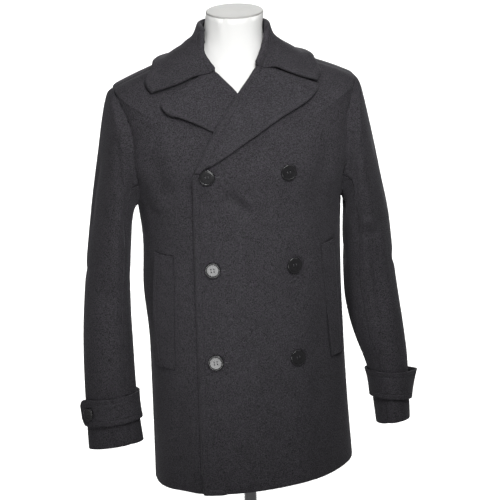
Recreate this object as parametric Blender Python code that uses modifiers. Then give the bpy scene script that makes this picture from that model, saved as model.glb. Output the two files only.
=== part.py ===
"""Double-breasted pea coat on a limbless dress form with a pole and a round base.

Metres, +Z up, the coat's front faces -Y and the wearer's left is at +X. The origin is the
centre of the base's underside. Every cloth piece is a wall between two offsets of one smooth
surface, so layers lie on each other without crossing.
"""
import math
from collections import namedtuple

import bmesh
import bpy
import numpy as np
from mathutils import Matrix

# ---- driving dimensions -------------------------------------------------------------------
CHEST_DATUM = 1.040          # height of the level that all the tables' z columns count from
WOOL = 0.0022                # one layer of melton
SEAM_GAP = 0.0003            # between pieces that are sewn together
LAPEL_GAP = 0.0006           # between a front and the lapel that lies on it
WELT_GAP = 0.0009            # between a front and a welt
STRAP_GAP = 0.0013           # between a sleeve and its strap
LAPEL_THICK = 0.0036         # two layers of melton
COLLAR_THICK = 0.0036
FRONT_EDGE_X = -0.096        # edge of the left front, past the centre on the wearer's right
UNDERLAP_X = 0.086           # edge of the right front, hidden under the left one
BREAK_Z = 0.190              # where the lapels begin to turn back
BUTTON_RADIUS = 0.0145
BUTTON_THICK = 0.0045
BUTTON_SEAT = 0.0002         # thread between a front button and the cloth, at its nearest
CUFF_BUTTON_SEAT = 0.0006    # and between a cuff button and its strap
BUTTON_HALF_SPAN = 0.0738    # from the centre front to each column
BUTTON_HEIGHTS = (0.181, 0.006, -0.169)
BUTTON_SHIFT = (0.000, 0.005, 0.005)     # how far each row hangs off centre
CUFF_BUTTON_RADIUS = 0.0115
WELT_THICK = 0.0036
STRAP_THICK = 0.0036
STRAP_LOW = 0.043            # lower edge of a cuff strap above the cuff's edge
STRAP_WIDTH = 0.050
POLE_RADIUS = 0.0115
BASE_RADIUS = 0.190
BASE_THICK = 0.012
CAP_HEIGHT = 0.458           # top of the neck cap
NECK_CAP_RADIUS = 0.0525

# ---- the coat's body: one ring a row, from the hem to the collar's fold -------------------
# along: distance up the side and over the shoulder; square: how far the corners fill out;
# lean: how far the ring's middle is off centre; tilt: fall of the ring towards +X
Ring = namedtuple("Ring", "along half_width front back square side_z front_z back_z lean tilt")
BODY_RINGS = (
    Ring(0.000, 0.1810, 0.164, 0.150, 0.06, -0.413, -0.4155, -0.413, 0.008, -0.087),
    Ring(0.120, 0.1785, 0.160, 0.149, 0.07, -0.300, -0.300, -0.300, 0.005, -0.004),
    Ring(0.240, 0.1775, 0.154, 0.146, 0.08, -0.180, -0.180, -0.180, 0.003, 0.000),
    Ring(0.360, 0.1780, 0.149, 0.139, 0.08, -0.060, -0.060, -0.060, 0.001, 0.004),
    Ring(0.450, 0.1800, 0.145, 0.133, 0.09, 0.030, 0.030, 0.030, 0.000, 0.008),
    Ring(0.520, 0.1860, 0.142, 0.131, 0.10, 0.100, 0.098, 0.100, -0.003, 0.014),
    Ring(0.560, 0.1990, 0.140, 0.131, 0.11, 0.140, 0.132, 0.142, -0.004, 0.015),
    Ring(0.610, 0.2190, 0.136, 0.130, 0.11, 0.190, 0.172, 0.194, -0.005, 0.014),
    Ring(0.670, 0.2260, 0.129, 0.126, 0.10, 0.250, 0.214, 0.255, -0.005, 0.010),
    Ring(0.720, 0.2250, 0.120, 0.119, 0.09, 0.300, 0.245, 0.302, -0.006, 0.003),
    Ring(0.743, 0.2210, 0.115, 0.114, 0.08, 0.323, 0.258, 0.322, -0.006, 0.001),
    Ring(0.780, 0.1880, 0.107, 0.104, 0.05, 0.3380, 0.275, 0.338, -0.006, 0.002),
    Ring(0.820, 0.1510, 0.098, 0.092, 0.03, 0.3535, 0.293, 0.355, -0.006, 0.006),
    Ring(0.862, 0.1120, 0.088, 0.076, 0.01, 0.3730, 0.314, 0.372, -0.006, 0.008),
    Ring(0.900, 0.0780, 0.078, 0.062, 0.00, 0.3910, 0.334, 0.384, -0.005, 0.010),
    Ring(0.930, 0.0625, 0.067, 0.058, 0.00, 0.4110, 0.370, 0.406, -0.004, 0.014),
    Ring(0.955, 0.0570, 0.060, 0.058, 0.00, 0.4315, 0.409, 0.430, -0.003, 0.016),
)
UNDERARM = 0.520             # where the armhole begins, along the side
TIP = 0.743                  # the shoulder's tip
NECKLINE = 0.900
ARMHOLE_MID_Z = 0.2115
ARMHOLE_HALF_HEIGHT = 0.1115
ARMHOLE_FRONT = 0.078
ARMHOLE_BACK = 0.074
LOW_LEVEL = 0.100            # the underarm's level, the body's tilt there and its rise above
LOW_TILT = 0.014
TILT_RISE = (0.001 - 0.014) / (0.323 - 0.100)

# soft folds of the body: where they lie round it and up it, their half sizes and depth
Fold = namedtuple("Fold", "angle z half_angle half_height lean depth")
BODY_FOLDS = (
    Fold(-92, -0.055, 17, 0.085, 0, 0.0075),     # the gaping right pocket's side
    Fold(62, 0.125, 7, 0.075, 12, -0.0045),      # trough below the left armhole
    Fold(-62, 0.120, 7, 0.075, -10, -0.0040),    # and below the right one
    Fold(74, -0.330, 9, 0.130, 0, 0.0030),
    Fold(-56, -0.350, 9, 0.110, 4, -0.0030),
    Fold(128, -0.280, 12, 0.180, 3, -0.0050),
    Fold(-130, -0.260, 12, 0.190, -4, -0.0055),
    Fold(150, 0.080, 10, 0.090, 14, 0.0035),
    Fold(-152, 0.070, 10, 0.090, -12, 0.0035),
)


class Curve:
    """Smooth monotone curve through a table's columns, against its first one."""

    def __init__(self, rows):
        data = np.array([tuple(r) for r in rows], dtype=float)
        self.at = data[:, 0]
        self.values = data[:, 1:]
        step = np.diff(self.at)[:, None]
        slope = np.diff(self.values, axis=0) / step
        bend = np.zeros_like(self.values)
        bend[0] = slope[0]
        bend[-1] = slope[-1]
        for i in range(1, len(self.at) - 1):
            a, b = slope[i - 1], slope[i]
            same = a * b > 0
            w1 = 2 * step[i] + step[i - 1]
            w2 = step[i] + 2 * step[i - 1]
            safe_a = np.where(same, a, 1.0)
            safe_b = np.where(same, b, 1.0)
            bend[i] = np.where(same, (w1 + w2) / (w1 / safe_a + w2 / safe_b), 0.0)
        self.bend = bend

    def __call__(self, x):
        x = min(max(x, self.at[0]), self.at[-1])
        i = min(max(int(np.searchsorted(self.at, x)) - 1, 0), len(self.at) - 2)
        width = self.at[i + 1] - self.at[i]
        t = (x - self.at[i]) / width
        a = 2 * t ** 3 - 3 * t ** 2 + 1
        b = t ** 3 - 2 * t ** 2 + t
        c = -2 * t ** 3 + 3 * t ** 2
        d = t ** 3 - t ** 2
        return (a * self.values[i] + b * width * self.bend[i]
                + c * self.values[i + 1] + d * width * self.bend[i + 1])


def smooth(low, high, x):
    """0 below low, 1 above high, and a soft step between them."""
    t = min(max((x - low) / (high - low), 0.0), 1.0)
    return t * t * (3 - 2 * t)


body_curve = Curve(BODY_RINGS)


def ring_point(curve, angle, along):
    """Point of a surface given by rings; angle in degrees, 0 at the front, 90 at +X."""
    half, front, back, square, side_z, front_z, back_z, lean, tilt = curve(along)
    s = math.sin(math.radians(angle))
    c = math.cos(math.radians(angle))
    depth = front if c > 0 else back
    end_z = front_z if c > 0 else back_z
    x = lean + half * s * (1 + square * c * c)
    y = -depth * c * (1 + square * s * s)
    z = side_z + (end_z - side_z) * c * c - tilt * x
    return np.array((x, y, z))


def body_point(angle, along):
    """Point of the coat's inner surface."""
    return ring_point(body_curve, angle, along)


def body_normal(angle, along):
    """Outward normal of the coat's inner surface."""
    top = BODY_RINGS[-1].along
    low = max(along - 0.0015, 0.0)
    high = min(along + 0.0015, top)
    round_it = body_point(angle + 0.5, along) - body_point(angle - 0.5, along)
    up_it = body_point(angle, high) - body_point(angle, low)
    n = np.cross(round_it, up_it)
    return n / np.linalg.norm(n)


def fold_height(folds, angle, z):
    """How far the cloth stands proud at this place of the body."""
    total = 0.0
    for f in folds:
        middle = f.angle + f.lean * (z - f.z) / f.half_height
        gap = (angle - middle + 180) % 360 - 180
        r = (gap / f.half_angle) ** 2 + ((z - f.z) / f.half_height) ** 2
        total += f.depth * math.exp(-1.6 * r)
    return total


def cloth_point(angle, along, out):
    """Point at the distance out from the coat's inner surface, folds and all."""
    p = body_point(angle, along)
    return p + body_normal(angle, along) * (out + fold_height(BODY_FOLDS, angle, p[2]))


def find_on_body(target, axes, guess):
    """Angle and distance along the body where two of the point's coordinates are given."""
    angle, along = guess
    top = BODY_RINGS[-1].along
    for _ in range(40):
        here = body_point(angle, along)
        miss = np.array([target[i] - here[axes[i]] for i in range(2)])
        if np.abs(miss).max() < 1e-7:
            break
        da = (body_point(angle + 0.2, along) - here) / 0.2
        step = 0.0005 if along < top - 0.001 else -0.0005
        dl = (body_point(angle, along + step) - here) / step
        m = np.array([[da[axes[0]], dl[axes[0]]], [da[axes[1]], dl[axes[1]]]])
        move = np.linalg.lstsq(m, miss, rcond=None)[0]
        angle += min(max(move[0], -12.0), 12.0)
        along += min(max(move[1], -0.03), 0.03)
        along = min(max(along, 0.0), top)
    return angle, along


def find_front(x, z):
    """Angle and distance along the body of the front's point with this x and z."""
    along = min(max(z + 0.420, 0.0), 0.60)
    if z > 0.2:
        along = 0.60 + (z - 0.18) * 1.7
    return find_on_body((x, z), (0, 2), (x / 0.2 * 70, min(along, 0.93)))


# ---- meshes -------------------------------------------------------------------------------
def clear_scene():
    for obj in list(bpy.data.objects):
        bpy.data.objects.remove(obj, do_unlink=True)


def material(name, colour, roughness, metallic=0.0):
    mat = bpy.data.materials.new(name)
    mat.use_nodes = True
    shader = mat.node_tree.nodes["Principled BSDF"]
    shader.inputs["Base Color"].default_value = (*colour, 1)
    shader.inputs["Roughness"].default_value = roughness
    shader.inputs["Metallic"].default_value = metallic
    return mat


def add_object(name, mesh, mat, collection):
    obj = bpy.data.objects.new(name, mesh)
    obj.location = (0, 0, CHEST_DATUM)
    mesh.materials.append(mat)
    collection.objects.link(obj)
    return obj


def wall(name, inner, outer, mat, collection, closed=False):
    """Closed wall between two grids of points; closed joins each row's ends."""
    inner = np.array(inner)
    outer = np.array(outer)
    rows, cols = inner.shape[:2]
    verts = [tuple(p) for p in inner.reshape(-1, 3)] + [tuple(p) for p in outer.reshape(-1, 3)]
    shift = rows * cols

    def at(r, c):
        return r * cols + c % cols

    faces = []
    spans = cols if closed else cols - 1
    for r in range(rows - 1):
        for c in range(spans):
            a, b, d, e = at(r, c), at(r, c + 1), at(r + 1, c + 1), at(r + 1, c)
            faces.append((a, e, d, b))
            faces.append((a + shift, b + shift, d + shift, e + shift))
    for c in range(spans):
        a, b = at(0, c), at(0, c + 1)
        faces.append((a, b, b + shift, a + shift))
        a, b = at(rows - 1, c), at(rows - 1, c + 1)
        faces.append((b, a, a + shift, b + shift))
    if not closed:
        for r in range(rows - 1):
            a, b = at(r, 0), at(r + 1, 0)
            faces.append((b, a, a + shift, b + shift))
            a, b = at(r, cols - 1), at(r + 1, cols - 1)
            faces.append((a, b, b + shift, a + shift))
    mesh = bpy.data.meshes.new(name)
    mesh.from_pydata(verts, [], faces)
    bm = bmesh.new()
    bm.from_mesh(mesh)
    bmesh.ops.recalc_face_normals(bm, faces=bm.faces)
    if bm.calc_volume(signed=True) < 0:
        bmesh.ops.reverse_faces(bm, faces=bm.faces)
    bmesh.ops.triangulate(bm, faces=bm.faces)
    bm.to_mesh(mesh)
    bm.free()
    mesh.shade_smooth()
    mesh.set_sharp_from_angle(angle=math.radians(40))
    return add_object(name, mesh, mat, collection)


# ---- fronts and backs ---------------------------------------------------------------------
LOW_ROWS = 10                # rows of points below the underarm, beside it, and above it
ARMHOLE_ROWS = 9
SHOULDER_ROWS = 5
PANEL_COLUMNS = 13

# the lapels' roll lines, from the break up to the collar: height and place across
RollPoint = namedtuple("RollPoint", "z x")
LEFT_ROLL = (RollPoint(0.187, -0.0945), RollPoint(0.259, -0.0535), RollPoint(0.325, -0.0045),
             RollPoint(0.384, 0.0390), RollPoint(0.420, 0.0500))
RIGHT_ROLL = (RollPoint(0.187, -0.0860), RollPoint(0.259, -0.0400), RollPoint(0.325, 0.0105),
              RollPoint(0.376, 0.0520), RollPoint(0.420, 0.0600))
left_roll = Curve(LEFT_ROLL)
right_roll = Curve(RIGHT_ROLL)
ROLL_INSET = 0.0056          # the front ends this far outside the roll line, under the lapel
LAP_RISE = 0.0036            # the left front over the right one, and more over its lapel
LAP_LAPEL_RISE = 0.0052


def lap_height(x, z):
    """How far the left front stands off, over the right front and the right lapel."""
    hidden = UNDERLAP_X if z < BREAK_Z else -right_roll(z)[0]
    full = LAP_RISE + LAP_LAPEL_RISE * smooth(BREAK_Z - 0.065, BREAK_Z - 0.008, z)
    return full * (1 - smooth(hidden + 0.006, hidden + 0.064, x)) * (1 - smooth(0.335, 0.372, z))


def left_point(angle, along, out):
    """Point at the distance out from the left front's own inner surface."""
    p = body_point(angle, along)
    return cloth_point(angle, along, out + lap_height(p[0], p[2]))


def left_edge_x(z):
    if z < BREAK_Z:
        return FRONT_EDGE_X
    return left_roll(z)[0] + ROLL_INSET


def right_edge_x(z):
    if z < BREAK_Z:
        return -UNDERLAP_X
    return right_roll(z)[0] + ROLL_INSET


def edge_angle(along, side, edge_x):
    """Angle at which a ring of the body meets a front's edge; side 1 is the wearer's left."""
    low, high = -70.0, 85.0
    for _ in range(40):
        middle = (low + high) / 2
        p = body_point(side * middle, along)
        if side * p[0] < edge_x(p[2]):
            low = middle
        else:
            high = middle
    return (low + high) / 2


def in_armhole(p):
    """Below 1 inside the armhole's outline; the body's tilt is taken out of the height."""
    depth = ARMHOLE_FRONT if p[1] < 0 else ARMHOLE_BACK
    level = (p[2] + p[0] * (LOW_TILT - TILT_RISE * LOW_LEVEL)) / (1 - p[0] * TILT_RISE)
    return (p[1] / depth) ** 2 + ((level - ARMHOLE_MID_Z) / ARMHOLE_HALF_HEIGHT) ** 2


def tilted(level, x):
    """Height of a level at this place across, as the armholes lean with the body."""
    return level - x * (LOW_TILT + TILT_RISE * (level - LOW_LEVEL))


def side_angle(along, front, side):
    """Angle at which a ring meets the side seam, the armhole or the shoulder seam."""
    if along <= UNDERARM or along >= TIP:
        return 90.0
    low, high = (40.0, 90.0) if front else (140.0, 90.0)
    for _ in range(40):
        middle = (low + high) / 2
        if in_armhole(body_point(side * middle, along)) > 1:
            low = middle
        else:
            high = middle
    return (low + high) / 2


def armhole_along(step):
    """Distance along the body of a point of the armhole, in steps from its lowest one."""
    turn = math.pi * step / ARMHOLE_ROWS
    return UNDERARM + (TIP - UNDERARM) * (1 - math.cos(turn)) / 2


def panel_rows():
    """Distances along the body of a panel's rows, the armhole's evenly round its outline."""
    rows = [UNDERARM * i / LOW_ROWS for i in range(LOW_ROWS)]
    rows += [armhole_along(i) for i in range(ARMHOLE_ROWS)]
    rows += [TIP + (NECKLINE - TIP) * i / SHOULDER_ROWS for i in range(SHOULDER_ROWS + 1)]
    return rows


def seam_step(along):
    """Half the seam gap as an angle on this ring."""
    return math.degrees(SEAM_GAP / 2 / max(body_curve(along)[0], 0.05))


def body_panel(name, side, front, edge_x, point, mat, collection):
    """A front or a back, between its middle edge and its side, armhole and shoulder."""
    inner, outer = [], []
    for along in panel_rows():
        start = edge_angle(along, side, edge_x) if front else 180 - seam_step(along)
        end = side_angle(along, front, side) - (1 if front else -1) * seam_step(along)
        angles = [start + (end - start) * i / (PANEL_COLUMNS - 1) for i in range(PANEL_COLUMNS)]
        inner.append([point(side * a, along, 0.0) for a in angles])
        outer.append([point(side * a, along, WOOL) for a in angles])
    return wall(name, inner, outer, mat, collection)


# ---- sleeves ------------------------------------------------------------------------------
# one section a row, from the armhole to the cuff: where its outer and inner ends lie across
# and up, half its depth from front to back, how far back its middle lies and how much its
# front end rises
Section = namedtuple("Section", "along outer_x outer_z inner_x inner_z depth middle_y rise")
RIGHT_SLEEVE = (
    Section(0.00, 0.2290, 0.3230, 0.1890, 0.1040, 0.0775, -0.0010, 0.000),
    Section(0.03, 0.2380, 0.3160, 0.1960, 0.0970, 0.0820, -0.0010, 0.000),
    Section(0.07, 0.2437, 0.2980, 0.2000, 0.0860, 0.0845, 0.0000, 0.000),
    Section(0.14, 0.2505, 0.2640, 0.2035, 0.0660, 0.0860, 0.0010, 0.000),
    Section(0.25, 0.2600, 0.2010, 0.2060, 0.0340, 0.0850, 0.0030, 0.000),
    Section(0.38, 0.2715, 0.1290, 0.2085, -0.0080, 0.0820, 0.0050, 0.000),
    Section(0.50, 0.2810, 0.0600, 0.2105, -0.0500, 0.0780, 0.0040, 0.000),
    Section(0.62, 0.2893, -0.0040, 0.2108, -0.0980, 0.0720, 0.0010, 0.000),
    Section(0.74, 0.2970, -0.0780, 0.2098, -0.1520, 0.0650, -0.0060, 0.000),
    Section(0.84, 0.3025, -0.1550, 0.2090, -0.2060, 0.0570, -0.0140, 0.001),
    Section(0.92, 0.3037, -0.2350, 0.2070, -0.2620, 0.0490, -0.0210, 0.003),
    Section(1.00, 0.3012, -0.3530, 0.1990, -0.3420, 0.0420, -0.0300, 0.005),
)
LEFT_SLEEVE = (
    Section(0.00, 0.2165, 0.3215, 0.1800, 0.0920, 0.0775, -0.0010, 0.000),
    Section(0.03, 0.2262, 0.3110, 0.1895, 0.0860, 0.0820, -0.0010, 0.000),
    Section(0.07, 0.2325, 0.2880, 0.1910, 0.0770, 0.0845, 0.0000, 0.000),
    Section(0.14, 0.2405, 0.2480, 0.1912, 0.0580, 0.0850, 0.0010, 0.000),
    Section(0.25, 0.2520, 0.1880, 0.1895, 0.0280, 0.0820, 0.0030, 0.000),
    Section(0.38, 0.2645, 0.1190, 0.1885, -0.0120, 0.0780, 0.0060, 0.000),
    Section(0.50, 0.2745, 0.0560, 0.1880, -0.0480, 0.0730, 0.0070, 0.000),
    Section(0.62, 0.2800, -0.0120, 0.1885, -0.0890, 0.0680, 0.0060, 0.000),
    Section(0.74, 0.2870, -0.0900, 0.1935, -0.1330, 0.0640, 0.0020, 0.001),
    Section(0.84, 0.2960, -0.1680, 0.2080, -0.1860, 0.0610, -0.0050, 0.003),
    Section(0.92, 0.3002, -0.2370, 0.2275, -0.2480, 0.0595, -0.0130, 0.006),
    Section(1.00, 0.3000, -0.3310, 0.2375, -0.3390, 0.0580, -0.0250, 0.009),
)
SLEEVE_CURVES = {-1: Curve(RIGHT_SLEEVE), 1: Curve(LEFT_SLEEVE)}
SLEEVE_ROWS = (0.0, 0.03, 0.065, 0.11, 0.17, 0.24, 0.32, 0.40, 0.48, 0.56, 0.64, 0.72, 0.79,
               0.85, 0.90, 0.95, 1.0)
SLEEVE_SEAM = 6              # the armhole's step at which the top sleeve meets the under one
SEAM_TURN = 0.13             # half the gap between them, in degrees

# soft folds of the sleeves: side, place round from the outer side towards the front, and along
SleeveFold = namedtuple("SleeveFold", "side angle along half_angle half_along depth")
SLEEVE_FOLDS = (
    SleeveFold(1, 118, 0.30, 22, 0.130, -0.0090),
    SleeveFold(1, 84, 0.42, 16, 0.110, 0.0045),
    SleeveFold(-1, 120, 0.22, 20, 0.120, -0.0060),
    SleeveFold(-1, 70, 0.66, 60, 0.022, -0.0030),
    SleeveFold(-1, 100, 0.74, 55, 0.022, -0.0028),
    SleeveFold(1, 80, 0.63, 60, 0.024, -0.0035),
    SleeveFold(1, 100, 0.72, 60, 0.022, -0.0035),
    SleeveFold(1, -100, 0.55, 40, 0.030, -0.0040),
    SleeveFold(-1, -100, 0.58, 40, 0.030, -0.0040),
)


def sleeve_ring(side, angle, along):
    """Point of the sleeve's outer surface before folds; angle 0 is outside, 90 is in front."""
    outer_x, outer_z, inner_x, inner_z, depth, middle_y, rise = SLEEVE_CURVES[side](along)
    c = math.cos(math.radians(angle))
    s = math.sin(math.radians(angle))
    x = (outer_x + inner_x) / 2 + (outer_x - inner_x) / 2 * c
    z = (outer_z + inner_z) / 2 + (outer_z - inner_z) / 2 * c + rise * s
    return np.array((side * x, middle_y - depth * s, z))


def sleeve_normal(side, angle, along):
    low, high = max(along - 0.004, 0.0), min(along + 0.004, 1.0)
    round_it = sleeve_ring(side, angle + 1, along) - sleeve_ring(side, angle - 1, along)
    down_it = sleeve_ring(side, angle, high) - sleeve_ring(side, angle, low)
    n = np.cross(round_it, down_it) * side
    return n / np.linalg.norm(n)


def sleeve_point(side, angle, along, out):
    """Point at the distance out from the sleeve's outer surface."""
    total = out
    for f in SLEEVE_FOLDS:
        if f.side == side:
            gap = (angle - f.angle + 180) % 360 - 180
            r = (gap / f.half_angle) ** 2 + ((along - f.along) / f.half_along) ** 2
            total += f.depth * math.exp(-1.6 * r)
    return sleeve_ring(side, angle, along) + sleeve_normal(side, angle, along) * total


def armhole_point(side, step, margin, out):
    """Point of the armhole's outline, drawn in by the margin; steps run from the shoulder's
    tip, forwards and down."""
    step = (step + ARMHOLE_ROWS) % (2 * ARMHOLE_ROWS) - ARMHOLE_ROWS
    along = armhole_along(ARMHOLE_ROWS - abs(step))
    angle = side_angle(along, step > 0, side)
    p = cloth_point(side * angle, along, out)
    inwards = np.array((0.0, -p[1], tilted(ARMHOLE_MID_Z, p[0]) - p[2]))
    return p + inwards / np.linalg.norm(inwards) * margin


def sleeve_piece(name, side, first, last, mat, collection):
    """Top or under sleeve, from the armhole's seam to the cuff, between two of its steps."""
    inner, outer = [], []
    steps = range(first, last + 1)
    inner.append([armhole_point(side, i, SEAM_GAP + WOOL, 0.0) for i in steps])
    outer.append([armhole_point(side, i, SEAM_GAP, WOOL) for i in steps])
    angles = [180 * i / ARMHOLE_ROWS for i in steps]
    angles[0] += SEAM_TURN
    angles[-1] -= SEAM_TURN
    for along in SLEEVE_ROWS[1:]:
        inner.append([sleeve_point(side, a, along, -WOOL) for a in angles])
        outer.append([sleeve_point(side, a, along, 0.0) for a in angles])
    for row in (inner[0], outer[0]):
        row[0] = row[0] + (row[1] - row[0]) * SEAM_GAP / np.linalg.norm(row[1] - row[0])
        row[-1] = row[-1] + (row[-2] - row[-1]) * SEAM_GAP / np.linalg.norm(row[-2] - row[-1])
    return wall(name, inner, outer, mat, collection)


# ---- collar -------------------------------------------------------------------------------
# one station a row, from the front end (share 0) to the centre back (share 1): where the
# fold, the middle of the fall and the fall's outer edge lie round and along the body
Station = namedtuple("Station", "share fold_angle fold middle_angle middle edge_angle edge")
LEFT_COLLAR = (
    Station(0.00, 31.5, 0.9235, 49.0, 0.8870, 58.0, 0.8040),
    Station(0.08, 47.0, 0.9335, 57.0, 0.8890, 64.5, 0.8070),
    Station(0.28, 63.0, 0.947, 69.0, 0.8890, 75.0, 0.8190),
    Station(0.45, 74.0, 0.955, 79.0, 0.8880, 84.0, 0.8280),
    Station(0.60, 95.0, 0.955, 98.0, 0.8880, 101.0, 0.8310),
    Station(0.80, 135.0, 0.955, 137.0, 0.8850, 138.0, 0.8230),
    Station(1.00, 180.0, 0.955, 180.0, 0.8800, 180.0, 0.8080),
)
RIGHT_COLLAR = (
    Station(0.00, 36.0, 0.9120, 46.5, 0.8735, 57.6, 0.7905),
    Station(0.08, 55.0, 0.9170, 56.5, 0.8790, 63.5, 0.7930),
    Station(0.28, 66.0, 0.940, 69.0, 0.8860, 74.0, 0.8100),
    Station(0.45, 74.0, 0.955, 79.0, 0.8880, 84.0, 0.8275),
    Station(0.60, 95.0, 0.955, 98.0, 0.8880, 101.0, 0.8310),
    Station(0.80, 135.0, 0.955, 137.0, 0.8850, 138.0, 0.8230),
    Station(1.00, 180.0, 0.955, 180.0, 0.8800, 180.0, 0.8080),
)
COLLAR_CURVES = {1: Curve(LEFT_COLLAR), -1: Curve(RIGHT_COLLAR)}
COLLAR_SHARES = (0.0, 0.03, 0.07, 0.12, 0.18, 0.25, 0.32, 0.39, 0.46, 0.53, 0.60, 0.67, 0.74,
                 0.81, 0.88, 0.94)
COLLAR_LOW = 0.9010          # the collar's seam, just above the neckline
COLLAR_GAP = 0.0010          # under the fall, where it lies on the shoulders
GORGE_FALL = 0.0026          # fall of the gorge along the body for each degree round it
COLLAR_ROLL = 0.0034         # radius of the fold, at the middle of the cloth
FALL_COLUMNS = 7


def collar_path(side, share):
    """Middle of the collar's cloth, from its seam up to the fold and down the fall."""
    fold_angle, fold, middle_angle, middle, edge_angle, edge = COLLAR_CURVES[side](share)
    half = COLLAR_THICK / 2
    front = 1 - smooth(0.0, 0.30, share)
    stand_top = fold - COLLAR_ROLL
    end = COLLAR_CURVES[side](0.0)
    low = max(COLLAR_LOW, end[1] - 0.0060 - GORGE_FALL * (fold_angle - end[0]))
    low = min(low, stand_top - 0.002)
    path = [(fold_angle, low, half), (fold_angle, (low + stand_top) / 2, half)]
    for i in range(5):
        turn = math.pi * i / 4
        path.append((fold_angle, stand_top + COLLAR_ROLL * math.sin(turn),
                     half + COLLAR_ROLL * (1 - math.cos(turn))))
    high = half + 2 * COLLAR_ROLL
    rest = WOOL + COLLAR_GAP + half
    for i in range(1, FALL_COLUMNS + 1):
        t = i / FALL_COLUMNS
        bend = 0.40
        if t < bend:
            s = t / bend
            angle = fold_angle + (middle_angle - fold_angle) * s
            along = stand_top + (middle - stand_top) * s
        else:
            s = (t - bend) / (1 - bend)
            angle = middle_angle + (edge_angle - middle_angle) * s
            along = middle + (edge - middle) * s
        puff = 0.0022 * math.sin(math.pi * min(t / 0.8, 1.0))
        lift = front * 0.0030 * smooth(0.45, 1.0, t)
        out = high + (rest - high) * smooth(0.15, 1.0, t) + puff + lift
        path.append((angle, along, out))
    return [cloth_point(side * a, h, out) for a, h, out in path]


def offset_both(grid, half):
    """Two grids, half the thickness to each side of a grid of points."""
    grid = np.array(grid)
    down = np.gradient(grid, axis=0)
    across = np.gradient(grid, axis=1)
    normal = np.cross(down, across)
    normal /= np.linalg.norm(normal, axis=2)[:, :, None]
    return grid - normal * half, grid + normal * half


def make_collar(mat, collection):
    grid = [collar_path(1, s) for s in COLLAR_SHARES]
    grid.append(collar_path(1, 1.0))
    grid += [collar_path(-1, s) for s in reversed(COLLAR_SHARES)]
    inner, outer = offset_both(grid, COLLAR_THICK / 2)
    return wall("collar", inner, outer, mat, collection)


# ---- lapels -------------------------------------------------------------------------------
# the outer edge of each lapel, from its top corner to the break, across and up
EdgePoint = namedtuple("EdgePoint", "share x z")
LEFT_LAPEL_EDGE = (
    EdgePoint(0.00, 0.1352, 0.3248),
    EdgePoint(0.05, 0.1395, 0.3170),
    EdgePoint(0.11, 0.1280, 0.3060),
    EdgePoint(0.33, 0.0715, 0.2775),
    EdgePoint(0.56, 0.0165, 0.2485),
    EdgePoint(0.77, -0.0320, 0.2215),
    EdgePoint(0.95, -0.0790, 0.1965),
    EdgePoint(1.00, -0.0865, 0.1915),
)
RIGHT_LAPEL_EDGE = (
    EdgePoint(0.00, 0.1470, 0.3035),
    EdgePoint(0.05, 0.1440, 0.2960),
    EdgePoint(0.20, 0.1010, 0.2785),
    EdgePoint(0.40, 0.0520, 0.2570),
    EdgePoint(0.60, 0.0030, 0.2350),
    EdgePoint(0.80, -0.0420, 0.2120),
    EdgePoint(1.00, -0.0780, 0.1930),
)
LEFT_NOTCH = (0.0640, 0.3562)
RIGHT_NOTCH = (0.0806, 0.3496)
LEFT_GORGE_Z = 0.3630        # where the lapels' upper edges begin, on the roll lines
RIGHT_GORGE_Z = 0.3584
PRESSED = (0.062, 0.098)     # the right lapel is flat nearer the centre than this
LAPEL_ROWS = 12
LAPEL_ACROSS = (0.20, 0.40, 0.55, 0.70, 0.86, 1.0)
NOTCH_ACROSS = 0.40          # the notch's share of the top edge, from the roll line
ROLL_NOSE = 0.0016           # the nose of the roll, and where it has passed the front's edge
ROLL_PAST = 0.0042


def lapel_piece(name, side, roll, edge_rows, notch, gorge_z, point, mat, collection):
    """A lapel: it wraps its front's edge along the roll line and lies back on the front."""
    edge = Curve(edge_rows)
    inner, outer = [], []
    for row in range(LAPEL_ROWS + 1):
        share = (row / LAPEL_ROWS) ** 1.25
        z = gorge_z + (BREAK_Z + 0.001 - gorge_z) * share
        start = np.array((roll(z)[0], z))
        end = np.array(edge(share))
        bend = (1 - share) ** 6 * (np.array(notch) - start - (end - start) * NOTCH_ACROSS)
        length = np.linalg.norm(end - start)
        near = min(ROLL_PAST / length, 0.30)
        shares = [0.0, near * ROLL_NOSE / ROLL_PAST, near * 0.72, near]
        shares += [max(a, near + (1 - near) * a * a) for a in LAPEL_ACROSS]
        low_row, high_row = [], []
        stand_off = 0.0018 * (1 - smooth(0.0, 0.35, share))
        for i, across in enumerate(shares):
            reach = across / NOTCH_ACROSS
            if across > NOTCH_ACROSS:
                reach = (1 - across) / (1 - NOTCH_ACROSS)
            spot = start + (end - start) * across + bend * reach
            angle, along = find_front(side * spot[0], spot[1])
            free = 1.0 if side > 0 else smooth(*PRESSED, spot[0])
            puff = 0.0020 * math.exp(-across * length / 0.020) * free
            lift = 0.0040 * smooth(0.35, 1.0, across) * smooth(0.0, 0.06, length - 0.012) * free
            over = WOOL + LAPEL_GAP + puff + lift + stand_off * (1 - smooth(0.3, 0.9, across))
            top = over + LAPEL_THICK
            under = (0.0012, 0.0, 0.0)[i] if i < 3 else over
            above = (0.45, 0.85, 0.98)[i] * top if i < 3 else top
            low_row.append(point(angle, along, under))
            high_row.append(point(angle, along, above))
        inner.append(low_row)
        outer.append(high_row)
    return wall(name, inner, outer, mat, collection)


# ---- pocket welts -------------------------------------------------------------------------
# corners of a welt on the front: free edge and seam, top and bottom, as angle and height
Welt = namedtuple("Welt", "free_top seam_top free_low seam_low top_z low_z gape")
RIGHT_WELT = Welt(64.5, 47.0, 70.0, 51.5, 0.026, -0.192, 0.0060)
LEFT_WELT = Welt(60.5, 44.5, 66.5, 51.5, 0.034, -0.184, 0.0030)
WELT_ROWS = 9
WELT_COLUMNS = 4


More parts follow.
